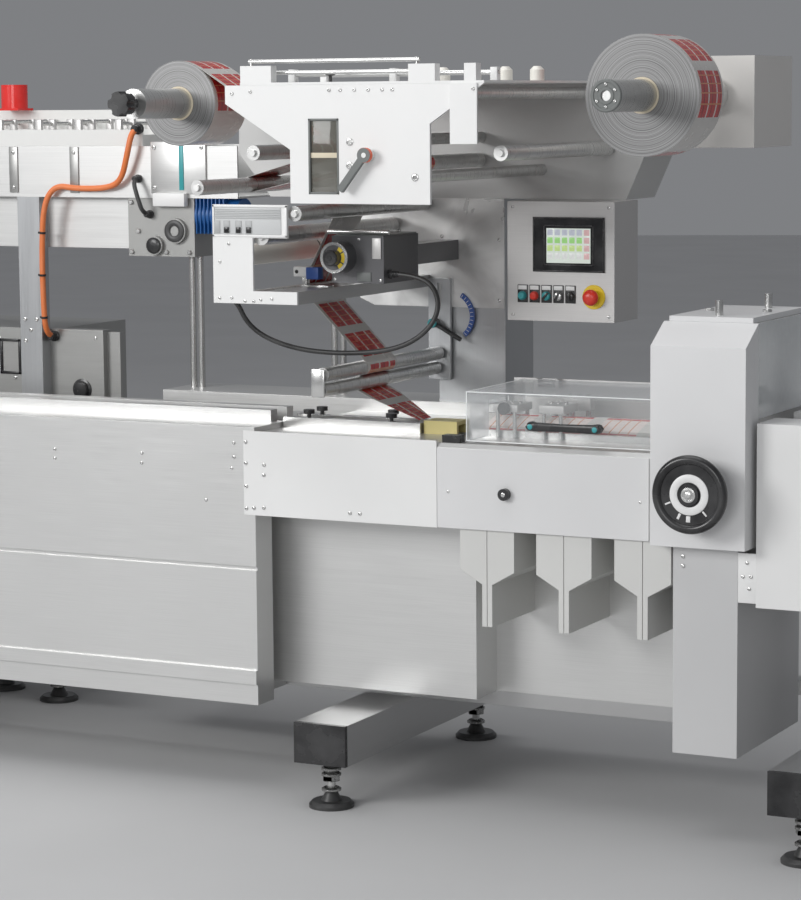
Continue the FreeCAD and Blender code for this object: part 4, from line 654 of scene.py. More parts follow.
def hose_line(label):
    """The points that a hose's own spline passes, in metres."""
    bare = bpy.data.curves.new(f"{label}_line", "CURVE")
    bare.dimensions = "3D"
    bare.resolution_u = 12
    route_into(bare, HOSES[label][2])
    holder = bpy.data.objects.new(f"{label}_line", bare)
    sampled = bpy.data.meshes.new_from_object(holder)
    line = [v.co.copy() for v in sampled.vertices]
    bpy.data.meshes.remove(sampled)
    bpy.data.objects.remove(holder)
    bpy.data.curves.remove(bare)
    return line


def line_length(line):
    return sum((b - a).length for a, b in zip(line, line[1:]))


def gland(label, point, inner, radius, material):
    """A ribbed, tapered fitting where a hose enters its housing at a point of its route."""
    outline = [
        (0.0, -4.0),
        (radius * 1.9, -4.0),
        (radius * 1.9, 6.0),
        (radius * 1.6, 7.0),
    ]
    for rib in range(4):
        start = 8.0 + 4.5 * rib
        wide = radius * (1.5 - 0.08 * rib)
        outline += [(wide, start), (wide, start + 2.6), (radius * 1.1, start + 3.0)]
    outline += [(radius * 1.02, 27.0), (0.0, 27.0)]
    direction = Vector(inner) - Vector(point)
    return lathe(label, outline, point, direction, material, steps=24)


def make_hose(label):
    """A hose from end to end with its two fittings."""
    diameter, finish, points = HOSES[label]
    curve = bpy.data.curves.new(f"{label}_curve", "CURVE")
    curve.dimensions = "3D"
    curve.resolution_u = 10
    curve.bevel_depth = diameter / 2000.0
    curve.bevel_resolution = 5
    curve.use_fill_caps = True
    route_into(curve, points)
    hose = bpy.data.objects.new(f"{label}_visual", curve)
    bpy.context.scene.collection.objects.link(hose)
    curve.materials.append(M[finish])
    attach(hose, ROOT)
    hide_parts(label)
    for end, point, inner in (("start", points[0], points[1]), ("end", points[-1], points[-2])):
        gland(f"{label}_{end}_gland", point, inner, diameter / 2, M["black_plastic"])
    line = hose_line(label)
    return line


hose_lines = {label: make_hose(label) for label in HOSES}


# Fittings
FRONT = Vector((0.0, -1.0, 0.0))
TOP = Vector((0.0, 0.0, 1.0))
REACH = 0.8
SCREW_HEAD = [
    (0.0, -0.5),
    (1.0, -0.5),
    (1.0, 0.25),
    (0.85, 0.5),
    (0.5, 0.6),
    (0.44, 0.55),
    (0.4, 0.15),
    (0.0, 0.15),
]
trees = {}


def seat(node, spot, facing):
    """Where a CAD node's outer face lies behind a place, looked at against a direction."""
    if node not in trees:
        mesh = nodes[node].data
        corners = [v.co for v in mesh.vertices]
        trees[node] = BVHTree.FromPolygons(corners, [p.vertices[:] for p in mesh.polygons])
    hit = trees[node].ray_cast(at(*spot) + facing * REACH, -facing)[0]
    if hit is None:
        raise ValueError(f"nothing of {node} behind {spot}")
    return hit


def metres(outline, factor=1.0):
    return [(r * factor / 1000.0, d * factor / 1000.0) for r, d in outline]


def screws(name, node, radius, places, facing=FRONT, finish="bare_metal"):
    """Button-head screws on a node's face; a place is (x, z) on a front face, or (x, y, z)."""
    bm = bmesh.new()
    for place in places:
        spot = (place[0], 0.0, place[1]) if len(place) == 2 else place
        lathe_into(bm, metres(SCREW_HEAD, radius), seat(node, spot, facing), facing, 14)
    return from_bmesh(name, bm, M[finish])


def blocks(name, boxes, finish, bevel=0.8, body=ROOT):
    """Boxes between two corners in millimetres, with rounded edges, as one piece."""
    bm = bmesh.new()
    for low, high in boxes:
        box_into(bm, at(*low), at(*high), bevel / 1000.0)
    return from_bmesh(name, bm, M[finish], body)


def rods(name, runs, finish, body=ROOT, steps=20):
    """Round rods with chamfered ends from (start, end, radius), as one piece."""
    bm = bmesh.new()
    for start, end, radius in runs:
        first, last = at(*start), at(*end)
        length = (last - first).length * 1000.0
        edge = radius * 0.15
        outline = [
            (0, 0),
            (radius - edge, 0),
            (radius, edge),
            (radius, length - edge),
            (radius - edge, length),
            (0, length),
        ]
        lathe_into(bm, metres(outline), first, last - first, steps)
    return from_bmesh(name, bm, M[finish], body)


def turned_set(name, outline, places, direction, finish, body=ROOT, steps=24):
    """The same turned form at several places, as one piece."""
    bm = bmesh.new()
    for spot in places:
        lathe_into(bm, metres(outline), at(*spot), direction, steps)
    return from_bmesh(name, bm, M[finish], body)


def ring_band(bm, centre, degrees, radii, depths, steps):
    """A flat band along an arc in a front plane, between two radii and two depths in metres."""
    start, end = degrees
    rows = []
    for i in range(steps + 1):
        angle = math.radians(start + (end - start) * i / steps)
        spoke = Vector((math.cos(angle), 0.0, math.sin(angle)))
        corners = [(radii[0], depths[0]), (radii[1], depths[0]), (radii[1], depths[1]), (radii[0], depths[1])]
        rows.append([bm.verts.new(centre + spoke * r + Vector((0.0, y, 0.0))) for r, y in corners])
    for a, b in zip(rows, rows[1:]):
        for j in range(4):
            k = (j + 1) % 4
            bm.faces.new((a[j], a[k], b[k], b[j]))
    bm.faces.new(rows[0])
    bm.faces.new(reversed(rows[-1]))


def turned_box(bm, low, high, bevel, degrees, centre):
    """A small box in metres, turned about the depth axis and put at a centre."""
    before = len(bm.verts)
    box_into(bm, Vector(low), Vector(high), bevel)
    bm.verts.ensure_lookup_table()
    turn = Matrix.Rotation(-math.radians(degrees), 4, "Y")
    for v in bm.verts[before:]:
        v.co = turn @ v.co + centre


def hex_nut(radius, height):
    """Outline of a nut whose corners are cut by the lathe's six steps."""
    edge = height * 0.12
    return [(0, 0), (radius * 0.94, 0), (radius, edge), (radius, height - edge), (0, height)]


def paint_where(node, finish, chosen):
    """Give the faces of a node that pass a test another finish."""
    mesh = nodes[node].data
    mesh.materials.append(M[finish])
    index = len(mesh.materials) - 1
    for face in mesh.polygons:
        middle = (face.center - ORIGIN) * 1000.0
        if chosen(middle, face.normal):
            face.material_index = index


# Infeed, panel and cabinet
screws(
    "infeed_screws",
    "infeed_body",
    4.5,
    [(-554, 825), (-554, 802), (-294, 828), (-295, 803), (-28, 866), (-28, 831), (-35, 803), (-110, 720)],
)
screws(
    "panel_screws",
    "front_panel",
    5.0,
    [(7, 870), (7, 818), (7, 761), (7, 706), (58, 816), (57, 791), (28, 708), (56, 710), (294, 711), (321, 711)],
)
screws("door_screws", "sealing_door", 3.5, [(557, 778), (1045, 780)])
lathe(
    "lock_centre",
    [(0, -1), (5.5, -1), (5.5, 0.8), (4.6, 1.4), (1.6, 1.4), (1.4, 0.4), (0, 0.4)],
    (706, -202, 780),
    FRONT,
    M["bare_metal"],
)
screws("post_screws", "post", 5.0, [(1150, 662), (1150, 640)])
JOINT_LOW, JOINT_HIGH = (1280.0, -187.5, 565.0), (1334.0, -184.5, 679.0)
blocks("joint_plate", [(JOINT_LOW, JOINT_HIGH)], "white_paint", 0.6)
turned_set(
    "joint_screws",
    metres(SCREW_HEAD, 4500.0),
    [(1304, JOINT_LOW[1], 657), (1313, JOINT_LOW[1], 626), (1294, JOINT_LOW[1], 625), (1309, JOINT_LOW[1], 598)],
    FRONT,
    "bare_metal",
)


# Tower and handwheel
WHEEL = (1207.0, 821.0)
WHEEL_FACE = -300.0
lathe(
    "wheel_ring",
    [(28, 0), (46, 0), (46, 1.6), (44.5, 2.6), (29.5, 2.6), (28, 1.6)],
    (WHEEL[0], WHEEL_FACE, WHEEL[1]),
    FRONT,
    M["white_plastic"],
    "handwheel",
    64,
)
lathe(
    "wheel_cap",
    [(0, 0), (17, 0), (17, 0.8), (13, 1.4), (12, 0.7), (8, 0.7), (7.4, 2.4), (4, 3.4), (0, 3.6)],
    (WHEEL[0], WHEEL_FACE - 7.0, WHEEL[1]),
    FRONT,
    M["bare_metal"],
    "handwheel",
    40,
)


def wheel_marks():
    """Short pale index marks between the white ring and the rim."""
    bm = bmesh.new()
    centre = at(WHEEL[0], WHEEL_FACE, WHEEL[1])
    for degrees, half in ((203, 0.002), (244, 0.003), (268, 0.005), (312, 0.002)):
        turned_box(bm, (0.048, -0.0012, -half), (0.062, 0.0004, half), 0.0004, degrees, centre)
    return from_bmesh("wheel_marks", bm, M["white_plastic"], "handwheel")


wheel_marks()
paint_where("tower_lid", "bare_metal", lambda place, normal: place.z > 1208.0)
turned_set(
    "stud_nuts",
    hex_nut(11.5, 7.0),
    [(1130.7, 27.5, 1207.0), (1271.3, 27.5, 1207.0)],
    TOP,
    "bare_metal",
    steps=6,
)


# Guard
GUARD_LEFT, GUARD_RIGHT = 600.0, 1079.0
GUARD_FRONT, GUARD_BACK = -175.0, 160.0
GUARD_LOW, GUARD_TOP = 900.0, 1016.0
NOTCH_HALF, NOTCH_TOP = 62.0, 985.0


def guard_edges():
    """The cut and folded edges of the clear cover, bright with a faint painted glow."""
    thick = 2.2
    corners = [
        ((GUARD_LEFT, GUARD_FRONT, GUARD_LOW), (GUARD_LEFT, GUARD_FRONT, GUARD_TOP)),
        ((GUARD_LEFT, GUARD_FRONT, GUARD_TOP), (GUARD_RIGHT, GUARD_FRONT, GUARD_TOP)),
        ((GUARD_LEFT, GUARD_FRONT, GUARD_LOW), (GUARD_RIGHT, GUARD_FRONT, GUARD_LOW)),
        ((GUARD_LEFT, GUARD_FRONT, GUARD_TOP), (GUARD_LEFT, GUARD_BACK, GUARD_TOP)),
        ((GUARD_LEFT, GUARD_BACK, GUARD_LOW), (GUARD_LEFT, GUARD_BACK, GUARD_TOP)),
        ((GUARD_LEFT, GUARD_FRONT, GUARD_LOW), (GUARD_LEFT, -NOTCH_HALF, GUARD_LOW)),
        ((GUARD_LEFT, -NOTCH_HALF, GUARD_LOW), (GUARD_LEFT, -NOTCH_HALF, NOTCH_TOP)),
        ((GUARD_LEFT, -NOTCH_HALF, NOTCH_TOP), (GUARD_LEFT, NOTCH_HALF, NOTCH_TOP)),
        ((GUARD_LEFT, NOTCH_HALF, NOTCH_TOP), (GUARD_LEFT, NOTCH_HALF, GUARD_LOW)),
    ]
    bm = bmesh.new()
    for start, end in corners:
        low = [min(a, b) - thick / 2 for a, b in zip(start, end)]
        high = [max(a, b) + thick / 2 for a, b in zip(start, end)]
        box_into(bm, at(*low), at(*high), 0.0007)
    return from_bmesh("guard_edges", bm, M["clear_edge"], "guard")


guard_edges()


def guard_grip():
    """A bridge handle with swollen round ends and a dished back."""
    low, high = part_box("guard_handle")
    middle = (low + high) / 2
    half = (high - low) / 2
    bm = bmesh.new()
    rows = []
    count = 40
    for i in range(count + 1):
        share = -1.0 + 2.0 * i / count
        run = abs(share)
        end_round = math.sqrt(max(0.0, 1.0 - max(0.0, (run - 0.9) / 0.1) ** 2))
        tall = half.z * (0.78 + 0.22 * run**2) * max(end_round, 0.05)
        front = low.y + 0.003 * (1.0 - run**2)
        back = high.y if run > 0.8 else low.y + 0.014
        ring = []
        for j in range(16):
            angle = 2 * math.pi * j / 16
            square = 0.65
            up_part = math.copysign(abs(math.sin(angle)) ** square, math.sin(angle))
            out_part = math.copysign(abs(math.cos(angle)) ** square, math.cos(angle))
            y = (front + back) / 2 + out_part * (back - front) / 2
            ring.append(bm.verts.new((middle.x + share * half.x, y, middle.z + up_part * tall)))
        rows.append(ring)
    for a, b in zip(rows, rows[1:]):
        for j in range(16):
            k = (j + 1) % 16
            bm.faces.new((a[j], a[k], b[k], b[j]))
    bm.faces.new(rows[0])
    bm.faces.new(reversed(rows[-1]))
    grip = from_bmesh("guard_grip", bm, M["black_plastic"], "guard")
    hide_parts("guard_handle")
    for name, x in (("grip_cap_left", 777.0), ("grip_cap_right", 939.0)):
        lathe(
            name,
            [(0, -2), (6.4, -2), (6.4, 1.0), (5.4, 1.6), (0, 1.4)],
            (x, -205.6, 944.0),
            FRONT,
            M["teal_plastic"],
            "guard",
            28,
        )


guard_grip()


def inner_unit(label, left, right, low, high, near, far):
    """A sealing unit's bearing block on its four posts, with its pressure screws."""
    bed = 893.0
    middle = (near + far) / 2
    rods(
        f"{label}_posts",
        [((x, y, bed), (x, y, low + 2), 5.0) for x in (left + 10, right - 10) for y in (near + 7, far - 7)],
        "bare_metal",
    )
    blocks(f"{label}_block", [((left, near, low), (right, far, high))], "panel_grey", 1.6)
    turned_set(
        f"{label}_screws",
        [(0, 0), (5, 0), (5, 5), (3.6, 5.6), (0, 5.6)],
        [(x, middle, high) for x in (left + 12, (left + right) / 2, right - 12)],
        TOP,
        "bare_metal",
        steps=6,
    )


inner_unit("feed_unit", 608.0, 672.0, 956.0, 974.0, -44.0, 44.0)
lathe(
    "feed_unit_knob",
    [(0, -1), (13, -1), (15, 3), (15, 12), (12, 15), (0, 15)],
    (640.0, -44.0, 965.0),
    FRONT,
    M["black_plastic"],
)
inner_unit("seal_unit", 728.0, 792.0, 956.0, 976.0, -44.0, 44.0)
inner_unit("seal_unit_rear", 728.0, 800.0, 950.0, 984.0, 100.0, 128.0)


# Operator box
SCREEN_FACE = 218.0
DISPLAY = ((633.0, 1298.0), (750.0, 1383.0))
blocks(
    "display",
    [((DISPLAY[0][0], SCREEN_FACE - 0.8, DISPLAY[0][1]), (DISPLAY[1][0], SCREEN_FACE + 0.5, DISPLAY[1][1]))],
    "screen_light",
    0.3,
)


def display_keys():
    """Rows of soft keys on the display."""
    columns, rows = 6, 4
    pitch_x = (DISPLAY[1][0] - DISPLAY[0][0]) / columns
    pitch_z = (DISPLAY[1][1] - DISPLAY[0][1] - 8.0) / rows
    finishes = {0: "key_grey", 1: "key_green", 2: "key_yellow", 3: "key_pale"}
    groups = {}
    for row in range(rows):
        for column in range(columns):
            finish = "key_red" if column == columns - 1 else finishes[row]
            x = DISPLAY[0][0] + pitch_x * column + 2.5
            z = DISPLAY[1][1] - pitch_z * row - 3.0
            key = ((x, SCREEN_FACE - 1.3, z - pitch_z + 5.0), (x + pitch_x - 5.0, SCREEN_FACE - 0.7, z))
            groups.setdefault(finish, []).append(key)
    for finish, keys in groups.items():
        blocks(f"display_{finish}", keys, finish, 0.2)


def frame_bars(left, right, low, high, near, far, width):
    """The four bars of a frame in a front face."""
    return [
        ((left, near, high - width), (right, far, high)),
        ((left, near, low), (right, far, low + width)),
        ((left, near, low), (left + width, far, high)),
        ((right - width, near, low), (right, far, high)),
    ]


display_keys()
blocks(
    "screen_frame",
    frame_bars(597.0, 785.0, 1277.0, 1409.0, SCREEN_FACE - 1.6, SCREEN_FACE, 3.0)
    + frame_bars(625.0, 758.0, 1291.0, 1391.0, SCREEN_FACE - 1.0, SCREEN_FACE, 3.5),
    "black_plastic",
    0.6,
)
BOX_FACE = 223.0
SWITCHES = (567.0, 599.0, 631.0, 663.0, 695.0)
SWITCH_Z = 1216.0
blocks(
    "switch_holders",
    [((x - 14.0, BOX_FACE - 2.4, 1199.0), (x + 14.0, BOX_FACE, 1243.0)) for x in SWITCHES],
    "black_plastic",
    1.2,
)
blocks(
    "switch_labels",
    [((x - 11.5, BOX_FACE - 3.2, 1231.0), (x + 11.5, BOX_FACE - 2.3, 1241.0)) for x in SWITCHES],
    "white_plastic",
    0.3,
)
PUSH_CAP = [(0, 0), (11, 0), (11, 7), (9.6, 9), (9, 12), (7.6, 13.4), (0, 13.8)]
SELECTOR = [(0, 0), (11, 0), (11, 6), (10, 8), (8.5, 9), (0, 9)]
start_button = lathe("start_button", PUSH_CAP, (SWITCHES[0], BOX_FACE, SWITCH_Z), FRONT, M["teal_plastic"])
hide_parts("panel_buttons")
lathe("halt_button", PUSH_CAP, (SWITCHES[1], BOX_FACE, SWITCH_Z), FRONT, M["red_plastic"])
lathe("lit_selector", SELECTOR, (SWITCHES[2], BOX_FACE, SWITCH_Z), FRONT, M["teal_plastic"])
lathe("key_switch", SELECTOR, (SWITCHES[3], BOX_FACE, SWITCH_Z), FRONT, M["bare_metal"])
lathe("last_selector", SELECTOR, (SWITCHES[4], BOX_FACE, SWITCH_Z), FRONT, M["black_plastic"])


def pointer(name, x, degrees, finish):
    """A selector's lever across its face."""
    bm = bmesh.new()
    low, high = (-0.0028, -0.0135, -0.0105), (0.0028, 0.0, 0.0105)
    turned_box(bm, low, high, 0.0012, -degrees, at(x, BOX_FACE, SWITCH_Z))
    return from_bmesh(name, bm, M[finish])


pointer("lit_pointer", SWITCHES[2], 40, "black_plastic")
pointer("last_pointer", SWITCHES[4], 0, "black_plastic")
pointer("key_bow", SWITCHES[3], 25, "black_plastic")
STOP = (757.0, 1216.0)
lathe(
    "stop_disc",
    [(0, 0), (30, 0), (30, 1.6), (29, 2.4), (18, 2.6), (15, 2.6), (15, 16), (0, 16)],
    (STOP[0], BOX_FACE, STOP[1]),
    FRONT,
    M["yellow_plastic"],
    steps=56,
)
lathe(
    "stop_mushroom",
    [(0, 14), (16, 14), (19, 17), (20, 22), (19, 27), (15, 31), (8, 33.4), (0, 34)],
    (STOP[0], BOX_FACE, STOP[1]),
    FRONT,
    M["red_plastic"],
    steps=48,
)
screws("operator_screws", "operator_box", 4.0, [(540, 1434), (796, 1434), (540, 1168), (796, 1168)])


# Column plate, dial and levers
screws("column_plate_screws", "column_plate", 5.0, [(152, 1363), (275, 1351), (436, 1344), (436, 1190)])
DIAL = (300.0, 1148.0)
DIAL_FACE = 362.0


def dial_scale():
    """A curved scale with its ticks, fixed to the column beside the slotted bracket."""
    thick = 0.0016
    bm = bmesh.new()
    ring_band(bm, at(DIAL[0], DIAL_FACE, DIAL[1]), (-50.0, 60.0), (0.056, 0.068), (0.006, -thick), 24)
    from_bmesh("dial_scale", bm, M["blue_plastic"])
    ticks = bmesh.new()
    face = at(DIAL[0], DIAL_FACE - thick * 1000.0, DIAL[1])
    for i in range(12):
        low, high = (0.058, -0.0008, -0.0007), (0.066, 0.0003, 0.0007)
        turned_box(ticks, low, high, 0.0002, -46.0 + 102.0 * i / 11, face)
    from_bmesh("dial_ticks", ticks, M["white_plastic"])


dial_scale()
rods(
    "slide_lever",
    [((262, 358, 1130), (262, 338, 1130), 12.0), ((262, 344, 1130), (338, 344, 1089), 6.0)],
    "black_plastic",
)
lathe(
    "slide_lever_end",
    [(0, 0), (11, 0), (12, 3), (12, 8), (10, 10), (0, 10)],
    (262.0, 338.0, 1130.0),
    FRONT,
    M["teal_plastic"],
)
blocks("roller_link", [((247.0, -292.0, 1000.0), (283.0, -286.0, 1068.0))], "bare_metal", 3.0)
screws("roller_screws", "guide_rollers", 6.0, [(272, 1053), (265, 1015)])


# Printer
PLATE_FACE = -340.0
blocks(
    "switch_panel",
    [((20.0, PLATE_FACE - 1.2, 1386.0), (200.0, PLATE_FACE, 1449.0))],
    "switch_grey",
    0.8,
)
blocks(
    "switch_grille",
    [((22.0, PLATE_FACE - 2.2, z - 1.1), (198.0, PLATE_FACE - 1.0, z + 1.1)) for z in range(1424, 1448, 4)],
    "switch_line",
    0.3,
)
TOGGLES = (26.0, 53.0, 85.0, 113.0)
blocks(
    "toggle_wells",
    [((x - 9.0, PLATE_FACE - 2.0, 1388.0), (x + 9.0, PLATE_FACE - 1.1, 1418.0)) for x in TOGGLES],
    "switch_line",
    0.4,
)
blocks(
    "toggles",
    [((x - 6.0, PLATE_FACE - 5.0, 1389.0), (x + 6.0, PLATE_FACE - 1.8, 1403.0)) for x in TOGGLES[1:]],
    "black_plastic",
    1.0,
)
blocks(
    "plate_rim",
    frame_bars(14.0, 216.0, 1380.0, 1455.0, PLATE_FACE - 2.6, PLATE_FACE, 5.0),
    "white_paint",
    0.8,
)
screws(
    "printer_plate_screws",
    "printer_plate",
    4.0,
    [(57, 1363), (32, 1320), (30, 1234), (63, 1235), (99, 1228), (123, 1228), (142, 1232), (172, 1235)],
)
RIBBON = (262.0, 1326.0)
RIBBON_FACE = -196.0
ROLLER = (62.0, 1333.0)
lathe(
    "roller_collar",
    [(20, 0), (26.4, 0), (26.4, 5), (22, 6), (22, 12), (20, 12)],
    (ROLLER[0], 62.0, ROLLER[1]),
    FRONT,
    M["dark_metal"],
)
lathe(
    "ribbon_knob",
    [(0, -1), (19.4, -1), (19.4, 2), (17, 4.5), (14, 4.5), (13, 3), (6, 3), (5, 4.5), (0, 4.5)],
    (RIBBON[0], -215.0, RIBBON[1]),
    FRONT,
    M["black_plastic"],
    steps=40,
)
lathe(
    "ribbon_rings",
    [(30, -1), (37, -1), (37, 1.2), (35.5, 1.2), (35.5, 0.2), (33.5, 0.2), (33.5, 1.2), (30, 1.2)],
    (RIBBON[0], RIBBON_FACE, RIBBON[1]),
    FRONT,
    M["bare_metal"],
    steps=56,
)


def ribbon_label():
    """The yellow sector of the ribbon reel's face, cut by two gaps."""
    bm = bmesh.new()
    centre = at(RIBBON[0], RIBBON_FACE, RIBBON[1])
    for degrees in ((-62, -34), (-26, 26), (34, 62)):
        ring_band(bm, centre, degrees, (0.0205, 0.0295), (0.0005, -0.001), 8)
    return from_bmesh("ribbon_label", bm, M["yellow_plastic"])


ribbon_label()
HEAD_FRONT = -150.0
blocks("head_plate", [((342.0, HEAD_FRONT - 3.0, 1322.0), (366.0, HEAD_FRONT, 1372.0))], "panel_grey", 1.0)
blocks(
    "head_panels",
    [
        ((300.0, HEAD_FRONT - 2.0, 1268.0), (338.0, HEAD_FRONT, 1290.0)),
        ((226.0 + 8.0, 30.0, 1376.0), (368.0, 34.0, 1379.0)),
        ((236.0, HEAD_FRONT + 6.0, 1376.0), (368.0, 26.0, 1378.0)),
    ],
    "grey_metal",
    0.8,
)
screws("head_screws", "print_head", 4.0, [(364, 1271), (306, 1368), (240, 1272)])
rods(
    "head_rod",
    [((206.0, -120.0, 1384.0), (372.0, -120.0, 1384.0), 6.0), ((300.0, -120.0, 1372.0), (300.0, -120.0, 1390.0), 4.0)],
    "bare_metal",
)
blocks("sensor_arm", [((128.0, -156.0, 1276.0), (166.0, -128.0, 1300.0))], "white_paint", 3.0)
blocks("sensor_block", [((164.0, -158.0, 1270.0), (198.0, -130.0, 1299.0))], "blue_plastic", 2.0)
blocks(
    "sensor_foot",
    [((150.0, -150.0, 1246.0), (162.0, -134.0, 1278.0)), ((150.0, -160.0, 1250.0), (226.0, -128.0, 1256.0))],
    "bare_metal",
    1.0,
)
lathe(
    "sensor_screw",
    metres(SCREW_HEAD, 4500.0),
    (138.0, -156.0, 1288.0),
    FRONT,
    M["black_plastic"],
)


# Front cheek, lever and deck
CHEEK_FACE = (seat("front_carrier", (400.0, 0.0, 1600.0), FRONT).y - ORIGIN.y) * 1000.0
WINDOW_LOW, WINDOW_HIGH = (278.0, 1485.0), (352.0, 1654.0)
blocks(
    "cheek_pane",
    [
        (
            (WINDOW_LOW[0] - 1.0, CHEEK_FACE + 4.0, WINDOW_LOW[1] - 1.0),
            (WINDOW_HIGH[0] + 1.0, CHEEK_FACE + 7.0, WINDOW_HIGH[1] + 1.0),
        )
    ],
    "smoke_pane",
    0.4,
)
blocks(
    "cheek_frame",
    frame_bars(
        WINDOW_LOW[0] - 3.0,
        WINDOW_HIGH[0] + 3.0,
        WINDOW_LOW[1] - 3.0,
        WINDOW_HIGH[1] + 3.0,
        CHEEK_FACE - 1.0,
        CHEEK_FACE + 8.0,
        5.0,
    ),
    "grey_metal",
    0.7,
)
# A pale strip across the window's pane: a painted highlight.
blocks(
    "cheek_painted_highlight",
    [
        (
            (WINDOW_LOW[0] + 1.0, CHEEK_FACE + 2.6, 1566.0),
            (WINDOW_HIGH[0] - 1.0, CHEEK_FACE + 4.2, 1578.0),
        )
    ],
    "cream_card",
    0.3,
)
screws(
    "cheek_screws",
    "front_carrier",
    4.5,
    [(331, 1722), (360, 1722), (397, 1722), (433, 1722), (469, 1722), (495, 1722), (702, 1722), (72, 1716), (122, 1720)],
)
turned_set(
    "cheek_bushes",
    [(0, -1), (9, -1), (9, 1), (7.6, 1.8), (5, 1.8), (4.6, 0.2), (0, 0.2)],
    [(384.0, CHEEK_FACE, 1603.0), (383.0, CHEEK_FACE, 1549.0), (552.0, CHEEK_FACE, 1522.0)],
    FRONT,
    "bare_metal",
)
lathe(
    "lever_cap",
    [(16.9, -11.5), (17.4, -11.5), (17.4, -0.4), (16.9, 0.2), (12, 0.25), (0, 0.25)],
    (434.0, -368.0, 1573.0),
    FRONT,
    M["orange_plastic"],
    "clamp_lever",
    40,
)
DECK_TOP = 1741.0
rods(
    "deck_rods",
    [
        ((112.0, -327.0, 1790.0), (560.0, -327.0, 1790.0), 5.0),
        ((112.0, -300.0, 1764.0), (560.0, -300.0, 1764.0), 5.0),
        ((150.0, -200.0, 1760.0), (700.0, -200.0, 1760.0), 6.0),
        ((150.0, -40.0, 1760.0), (440.0, -40.0, 1760.0), 6.0),
    ],
    "bare_metal",
)
blocks(
    "deck_rod_blocks",
    [
        ((x - 9.0, y - 10.0, DECK_TOP - 1.0), (x + 9.0, y + 10.0, 1772.0))
        for x, y in ((160, -200), (430, -200), (690, -200), (160, -40), (430, -40), (120, -300), (550, -300))
    ],
    "white_paint",
    1.5,
)
rods(
    "deck_posts",
    [((x, -327.0, 1776.0), (x, -327.0, 1796.0), 4.0) for x in (118.0, 552.0)],
    "bare_metal",
)
turned_set(
    "deck_knobs",
    [(0, 0), (4, 0), (4, 14), (11, 16), (13, 19), (13, 26), (11, 29), (0, 29)],
    [(287.0, -250.0, DECK_TOP), (531.0, -250.0, DECK_TOP)],
    TOP,
    "black_plastic",
)
paint_where("top_deck", "dome_cream", lambda place, normal: place.z > 1742.0 and abs(place.y) < 20.0)


# Reels and their shafts
paint_where("left_reel_shaft", "black_plastic", lambda place, normal: place.y < -296.0)
SHAFT_RIGHT = (1003.0, 1704.0)
lathe(
    "shaft_end_ring",
    [(12, -1), (37.4, -1), (37.4, 2), (35, 4), (30, 4), (29, 2.4), (20, 2.4), (19, 4), (12, 4)],
    (SHAFT_RIGHT[0], -290.0, SHAFT_RIGHT[1]),
    FRONT,
    M["grey_metal"],
    "right_reel_body",
    48,
)
turned_set(
    "shaft_end_screws",
    metres(SCREW_HEAD, 4000.0),
    [
        (SHAFT_RIGHT[0] + 25.0 * math.cos(a), -292.4, SHAFT_RIGHT[1] + 25.0 * math.sin(a))
        for a in [math.radians(30 + 60 * i) for i in range(6)]
    ],
    FRONT,
    "bare_metal",
    "right_reel_body",
    12,
)


# Infeed feeder at the back
rods(
    "lane_rods",
    [((x, 410.0, 1640.0 + 6.0 * (i % 2)), (x, 690.0, 1640.0 + 6.0 * (i % 2)), 5.0) for i, x in enumerate(range(-1500, -700, 130))],
    "bare_metal",
)
blocks(
    "lane_brackets",
    [
        ((x - 10.0, y, 1592.0), (x + 10.0, y + 12.0, 1652.0))
        for x in range(-1500, -700, 130)
        for y in (404.0, 470.0, 560.0, 640.0)
    ],
    "panel_grey",
    1.2,
)
TROUGH_FACE = 400.0
blocks(
    "trough_straps",
    [((x - 14.0, TROUGH_FACE - 4.0, 1452.0), (x + 14.0, TROUGH_FACE, 1578.0)) for x in (-1430, -1240, -1060, -860)],
    "feeder_steel",
    1.0,
)
turned_set(
    "strap_screws",
    metres(SCREW_HEAD, 5500.0),
    [(x, TROUGH_FACE - 4.0, z) for x in (-1430, -1240, -1060, -860) for z in (1466.0, 1562.0)],
    FRONT,
    "bare_metal",
)
blocks("drive_bracket", [((-612.0, TROUGH_FACE - 6.0, 1452.0), (-440.0, TROUGH_FACE, 1592.0))], "cabinet_steel", 1.5)
blocks("bracket_strip", [((-522.0, TROUGH_FACE - 8.0, 1462.0), (-508.0, TROUGH_FACE - 5.5, 1588.0))], "teal_plastic", 0.6)
turned_set(
    "bracket_screws",
    metres(SCREW_HEAD, 6000.0),
    [(x, TROUGH_FACE - 6.0, z) for x in (-600, -452) for z in (1468.0, 1576.0)],
    FRONT,
    "bare_metal",
)
GEAR_FACE = 393.0
turned_set(
    "gear_bolts",
    [(0, -1), (7, -1), (7, 5), (5, 6.5), (0, 6.5)],
    [(-682, 405, 1294), (-682, 405, 1428), (-500, 405, 1294), (-572, 405, 1294), (-660, 405, 1350), (-580, 405, 1425)],
    FRONT,
    "bare_metal",
    steps=6,
)
lathe(
    "gear_cap",
    [(0, -1), (22, -1), (22, 4), (18, 7), (8, 8), (0, 8)],
    (-606.0, GEAR_FACE, 1312.0),
    FRONT,
    M["black_plastic"],
    steps=40,
)
lathe(
    "gear_seal",
    [(14, -1), (30, -1), (30, 3), (26, 5), (18, 5), (14, 3)],
    (-540.0, GEAR_FACE, 1352.0),
    FRONT,
    M["dark_metal"],
    steps=40,
)
blocks(
    "motor_fins",
    [((-478.0 + 12.0 * i, 402.0, 1345.0), (-474.0 + 12.0 * i, 500.0, 1443.0)) for i in range(8)],
    "motor_blue",
    1.0,
)
blocks("drive_box", [((-600.0, 380.0, 1418.0), (-500.0, 402.0, 1454.0))], "white_paint", 3.0)
screws("feeder_leg_screws", "feeder_leg", 6.0, [(-1035, 1100), (-997, 1100), (-1035, 1040), (-1016, 1070)])
